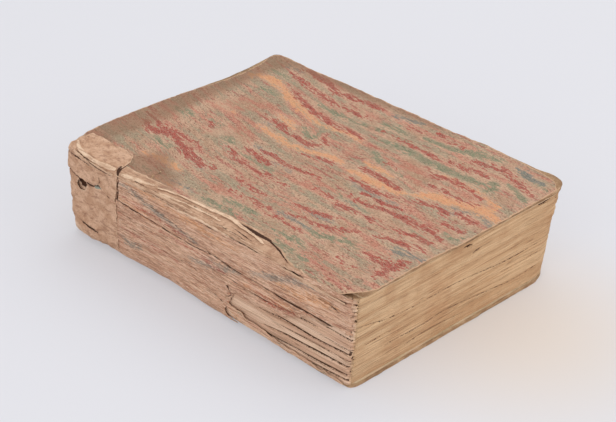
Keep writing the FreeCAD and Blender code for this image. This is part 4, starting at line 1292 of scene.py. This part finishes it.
def fold_relief(row, along):
    """How far the folds stand out at the spine, and how open the valley between two gatherings is."""
    within = row % ROWS_PER_GATHERING / ROWS_PER_GATHERING
    nearest = int(round(row / ROWS_PER_GATHERING))
    depth = 0.12 + 0.75 * max(0.0, float(noise(nearest * 3.7, 0.5, 79)))
    depth = depth * (0.6 + 0.6 * noise(along / 40.0, nearest * 1.3, 81))
    hollow = (1 - math.sin(math.pi * within)) ** 3
    wave = 0.14 * noise(along / 16.0, row * 0.9, 77) + 0.2 * noise(along / 30.0, row / 7.0, 83)
    return wave - 0.1 - depth * hollow, (hollow > 0.9) * np.clip(depth * 1.6, 0, 1)


def edge_relief(ring, along, coordinate, level):
    """How far the cut edges stand out, with the leaves' curled corner at the tail of the fore-edge."""
    ledge = sum(amount * noise(coordinate / up, along / on, seed) for amount, up, on, seed in LEDGES)
    curled = smooth(60, 74, ring[:, 0]) * smooth(-88, -100, ring[:, 1]) * smooth(0.45, 0.9, level)
    return ledge + curled * (0.7 * noise(coordinate / 0.7, along / 9.0, 76) - 0.3)


def back_shoulder(y, z):
    """How far the block stands in over the worn back shoulder."""
    share = np.clip(1 - z / back_depth(y), 0, 1)
    return back_width(y) * (1 - np.sqrt(1 - share**2))


def block_row(row):
    """One row of points round the block, and what the leaves' material reads there."""
    level = row / (GATHERINGS * ROWS_PER_GATHERING)
    height = (LEAVES_HIGH - LEAVES_LOW) * level
    z = LEAVES_LOW + height
    ring = block_ring(level)
    x, y = ring.T
    along = lengths(ring)
    folds = smooth(-77.0, -79.0, x)
    # The edges wander up and down a little, so that the lines of the leaves aren't ruled.
    wander = 0.9 * fbm(along / 55.0, height / 14.0, 61, 3) * math.sin(math.pi * level)
    coordinate = height + wander
    relief, valley = fold_relief(row, along)
    heights = np.full(len(ring), z)
    relief = relief - 0.9 * smooth(0.5, -0.2, distance(y, heights, FOLD_GAPS, 3))
    between = distance(x, heights - wander, TAIL_LINES, 3)
    between = np.where((y < -84) & (folds <= 0.02), between, CLEAR)
    # Frayed ends of the folds at the corner of spine and tail.
    fringe = smooth(-74.5, -78.0, x) * smooth(-104.5, -108.0, y - 1.5 * (1 - level))
    ends = noise(height / 0.62, along / 1.8, 93) + 0.5 * noise(height / 3.1, along / 2.0, 94)
    frayed = fringe * np.clip(0.15 + ends, 0, 1)
    out = edge_relief(ring, along, coordinate, level) * (1 - folds) + relief * folds
    out = out - 0.5 * smooth(0.5, -0.1, between) - 1.6 * frayed + 0.4 * fringe
    moved = ring + normals(ring) * out[:, None]
    moved[:, 0] += back_shoulder(y, z) * folds
    # The crack field carries painted shade for the open gaps, the lines between bundles and the frayed ends;
    # the gap field carries painted shade for the valleys between gatherings.
    torn = np.where(folds > 0.5, distance(moved[:, 1], heights, FOLD_GAPS, 3), CLEAR)
    open_ends = np.where(frayed > 0.2, 0.62 - 1.1 * frayed, CLEAR)
    points = np.column_stack([moved, z + warp(moved[:, 0], moved[:, 1]) * level**2])
    return points, {
        "leaf": np.column_stack([along, coordinate, np.zeros(len(ring))]),
        "fold": folds,
        "gap": folds * valley,
        "crack": np.minimum(np.minimum(torn, between), open_ends),
    }


def make_leaves(material):
    rings, fields = map(list, zip(*(block_row(row) for row in range(GATHERINGS * ROWS_PER_GATHERING + 1))))
    # The topmost leaf follows the book's uneven top, ring by ring to its middle.
    rim = rings[-1]
    middle = np.append(rim[:, :2].mean(axis=0), 0.0)
    for share in TOP_RINGS:
        ring = middle + (rim - middle) * share
        ring[:, 2] = LEAVES_HIGH - 0.25 + warp(ring[:, 0], ring[:, 1])
        rings.append(ring)
    points = np.vstack(rings + [rings[0].mean(axis=0), rings[-1].mean(axis=0)])
    columns = len(rim)
    last, low, high = (len(rings) - 1) * columns, len(points) - 2, len(points) - 1
    around = [(k, (k + 1) % columns) for k in range(columns)]
    faces = []
    for a in range(0, last, columns):
        b = a + columns
        faces += [(a + k, a + j, b + j, b + k) for k, j in around]
    for k, j in around:
        faces += [(k, low, j), (last + k, last + j, high)]
    attributes = {"at": points}
    for key, inner in (("leaf", 0.0), ("fold", 0.0), ("gap", 0.0), ("crack", 5.0)):
        values = np.concatenate([row[key] for row in fields])
        attributes[key] = np.full((len(points), *values.shape[1:]), inner)
        attributes[key][:len(values)] = values
    obj = make_piece("leaves", points, faces, material, attributes)
    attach(obj, "text_block")
    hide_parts("text_block")


def back_edge(x_more=0.0, tail=-106.5):
    """The back cover's outline: its spine side follows the worn back shoulder."""
    spine = [(X_SPINE + float(back_width(y)) + 0.8 + x_more, y) for y in np.arange(106, -100, -6.0)]
    fore = rounded(-60, 78.8, tail + 0.6, 110.4, 0.1, 20, 4, 0.1)[:18]
    return spine + [(-77.5 + x_more, -104.5), (-74, tail)] + fore + [(-70, 110.4)]


FRONT_BOARD_EDGE = rounded(-75.1, 79.9, -110.6, 110.0, 1.5, 12.5, 4, 8)
FRONT_SHEET_EDGE = rounded(-75.0, 79.6, -110.2, 109.6, 1.5, 12, 4, 8)
PLATE_STEP = 3.0
# Sheets and boards: piece, node, body, slot and outline, then the heights of the two sides, rows up the
# edge, how far it takes the shape of the book's top, seed, raggedness, and how far its layers step.
PLATES = (
    ("front_board_layers", "front_board", "front_cover", "pasteboard", FRONT_BOARD_EDGE,
     53.05, 54.62, 5, 1.0, 601, 0.35, 0.5),
    ("front_pastedown_sheet", "front_pastedown", "front_cover", "endpaper", FRONT_SHEET_EDGE,
     52.85, 53.03, 1, 1.0, 611, 0.25, 0.0),
    ("front_flyleaf_sheet", "front_flyleaf", "text_block", "endpaper", FRONT_SHEET_EDGE,
     52.37, 52.55, 1, 1.0, 621, 0.3, 0.0),
    ("back_board_layers", "back_board", "back_cover", "pasteboard", back_edge(),
     0.27, 1.85, 5, 0.0, 631, 0.35, 0.5),
    ("back_pastedown_sheet", "back_pastedown", "back_cover", "endpaper", back_edge(1.0, -105.8),
     1.87, 2.05, 1, 0.0, 641, 0.2, 0.0),
    ("back_flyleaf_sheet", "back_flyleaf", "text_block", "endpaper", back_edge(1.2, -105.6),
     2.33, 2.5, 1, 0.0, 651, 0.2, 0.0),
    ("marbled_back", "back_cover_paper", "back_cover", "marbled_paper", back_edge(0.2, -106.3),
     0.0, 0.25, 1, 0.0, 661, 0.3, 0.0),
)


def make_plate(materials, name, node, body, slot, edge, z_low, z_high, rows, follow, seed, rough, layer):
    outline = ragged(edge, rough, 5.0, seed, rough * 0.4)

    def at(z):
        def surface(x, y):
            return np.column_stack([x, y, z + follow * warp(x, y)])
        return surface

    def layered(xy, share):
        shift = layer * noise(share * 7.3, (xy[:, 0] + xy[:, 1]) / 9.0, seed + 3)
        away = xy - xy.mean(axis=0)
        away /= np.abs(away).max(axis=1, keepdims=True) + TINY
        return np.column_stack([away * shift[:, None], np.zeros(len(xy))])

    points, faces, uv, depth = closed_sheet(
        outline, PLATE_STEP, PLATE_STEP, at(z_high), at(z_low), rows, layered,
    )
    attributes = {key: np.full(len(points), value) for key, value in BLANK.items()}
    edge_distance = rim_distance(uv[:, 0], uv[:, 1], outline) + 0.5
    attributes["rim"] = np.where((depth > 0) & (depth < 1), 2.0, edge_distance)
    attributes["flow"] = flow_at(points[:, 0], points[:, 1])
    attributes["at"] = points
    obj = make_piece(name, points, faces, materials[slot], attributes)
    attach(obj, body)
    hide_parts(node)


CORD_NODES = (
    "sewing_cord_1", "sewing_cord_2", "sewing_cord_3", "kettle_stitch_head", "kettle_stitch_tail",
    "front_slips", "back_slips",
)


def dress_node(name, material):
    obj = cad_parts[name]
    obj.data.materials.clear()
    obj.data.materials.append(material)


# Studio.
FLOOR_HALF, FLOOR_UNDER = 4.0, 0.0002
# The painted shadow on the floor beside the tail edge: its middle and how far it reaches, in metres.
WARM_SHADOW_PLACE, WARM_SHADOW_REACH = (0.02, -0.135, 0.0), 0.12
WORLD = 0.80
LAMPS = (
    ("key_lamp", (0.9, 0.3, 1.5), (1.6, 1.6), 8.0, (1.0, 0.98, 0.95)),
    ("left_lamp", (-1.6, -0.5, 0.8), (1.4, 1.2), 8.5, (1.0, 0.99, 0.98)),
    ("near_lamp", (0.5, -1.6, 0.8), (1.4, 1.2), 8.0, (1.0, 0.98, 0.95)),
)


def floor_material():
    """A floor that takes shadows and glows a little for the camera, with a painted shadow, warmer in tone,
    beside the tail edge.
    """
    s = Shader("studio_floor", 0.95, 0.0)
    spot = s.nodes.new("ShaderNodeVectorMath")
    spot.operation = "DISTANCE"
    s.links.new(s.nodes.new("ShaderNodeTexCoord").outputs["Object"], spot.inputs[0])
    spot.inputs[1].default_value = WARM_SHADOW_PLACE
    # Painted shadow: the floor's colour and its glow turn warmer and darker towards the tail edge.
    warm_shadow = s.span(spot.outputs["Value"], WARM_SHADOW_REACH, 0.0)
    s.finish(s.mix(warm_shadow, colour(222, 222, 226), colour(222, 208, 196)))
    glow = s.nodes.new("ShaderNodeEmission")
    s.put(glow.inputs["Color"], s.mix(warm_shadow, colour(228, 227, 231), colour(230, 222, 215)))
    path = s.nodes.new("ShaderNodeLightPath")
    seen = s.add(path.outputs["Is Camera Ray"], path.outputs["Is Glossy Ray"])
    seen = s.math("ADD", seen, path.outputs["Is Transmission Ray"], clamp=True)
    blend = s.nodes.new("ShaderNodeMixShader")
    s.put(blend.inputs[0], s.times(seen, 0.45))
    s.put(blend.inputs[1], s.bsdf.outputs[0])
    s.put(blend.inputs[2], glow.outputs[0])
    s.put(s.nodes["Material Output"].inputs["Surface"], blend.outputs[0])
    return s.material


def make_floor():
    mesh = bpy.data.meshes.new("studio_floor")
    corners = [(x * FLOOR_HALF, y * FLOOR_HALF, 0) for x, y in ((-1, -1), (1, -1), (1, 1), (-1, 1))]
    mesh.from_pydata(corners, [], [(0, 1, 2, 3)])
    mesh.materials.append(floor_material())
    floor = bpy.data.objects.new("studio_floor", mesh)
    bpy.context.scene.collection.objects.link(floor)
    floor.location.z = -FLOOR_UNDER


def make_world():
    world = bpy.data.worlds.new("studio")
    bpy.context.scene.world = world
    world.use_nodes = True
    background = world.node_tree.nodes["Background"]
    background.inputs["Color"].default_value = (0.93, 0.95, 1.0, 1.0)
    background.inputs["Strength"].default_value = WORLD


def make_lamp(name, place, size, watts, tint):
    light = bpy.data.lights.new(name, "AREA")
    light.shape = "RECTANGLE"
    light.size, light.size_y = size
    light.energy = watts
    light.color = tint
    lamp = bpy.data.objects.new(name, light)
    bpy.context.scene.collection.objects.link(lamp)
    lamp.location = place
    lamp.rotation_euler = (-Vector(place)).to_track_quat("-Z", "Y").to_euler()


def make_camera():
    azimuth, elevation = math.radians(-44.55), math.radians(29.76)
    camera = bpy.data.cameras.new("camera")
    camera.lens, camera.sensor_width = 109.33, 36.0
    obj = bpy.data.objects.new("camera", camera)
    bpy.context.scene.collection.objects.link(obj)
    obj.location = (-0.61349, -0.62037, 0.52400)
    back = Vector((
        math.sin(azimuth) * math.cos(elevation),
        -math.cos(azimuth) * math.cos(elevation),
        math.sin(elevation),
    ))
    obj.rotation_euler = (-back).to_track_quat("-Z", "Y").to_euler()
    bpy.context.scene.camera = obj


make_camera()
make_floor()
make_world()
for lamp in LAMPS:
    make_lamp(*lamp)
bpy.context.scene.view_settings.view_transform = "Standard"

papers = {name: plain_paper(name, *values) for name, values in PLAIN_PAPERS.items()}
papers["marbled_paper"] = marbled_material()
papers["spine_paper"] = spine_material()
papers["light"], papers["tan"] = papers["torn_paper_light"], papers["torn_paper_tan"]
cord = cord_material()

make_front_paper(papers["marbled_paper"])
make_patch(papers["patch_paper"])
make_shreds(papers)
make_spine_paper(papers["spine_paper"])
make_leaves(leaves_material())
for plate in PLATES:
    make_plate(papers, *plate)
for node in CORD_NODES:
    dress_node(node, cord)
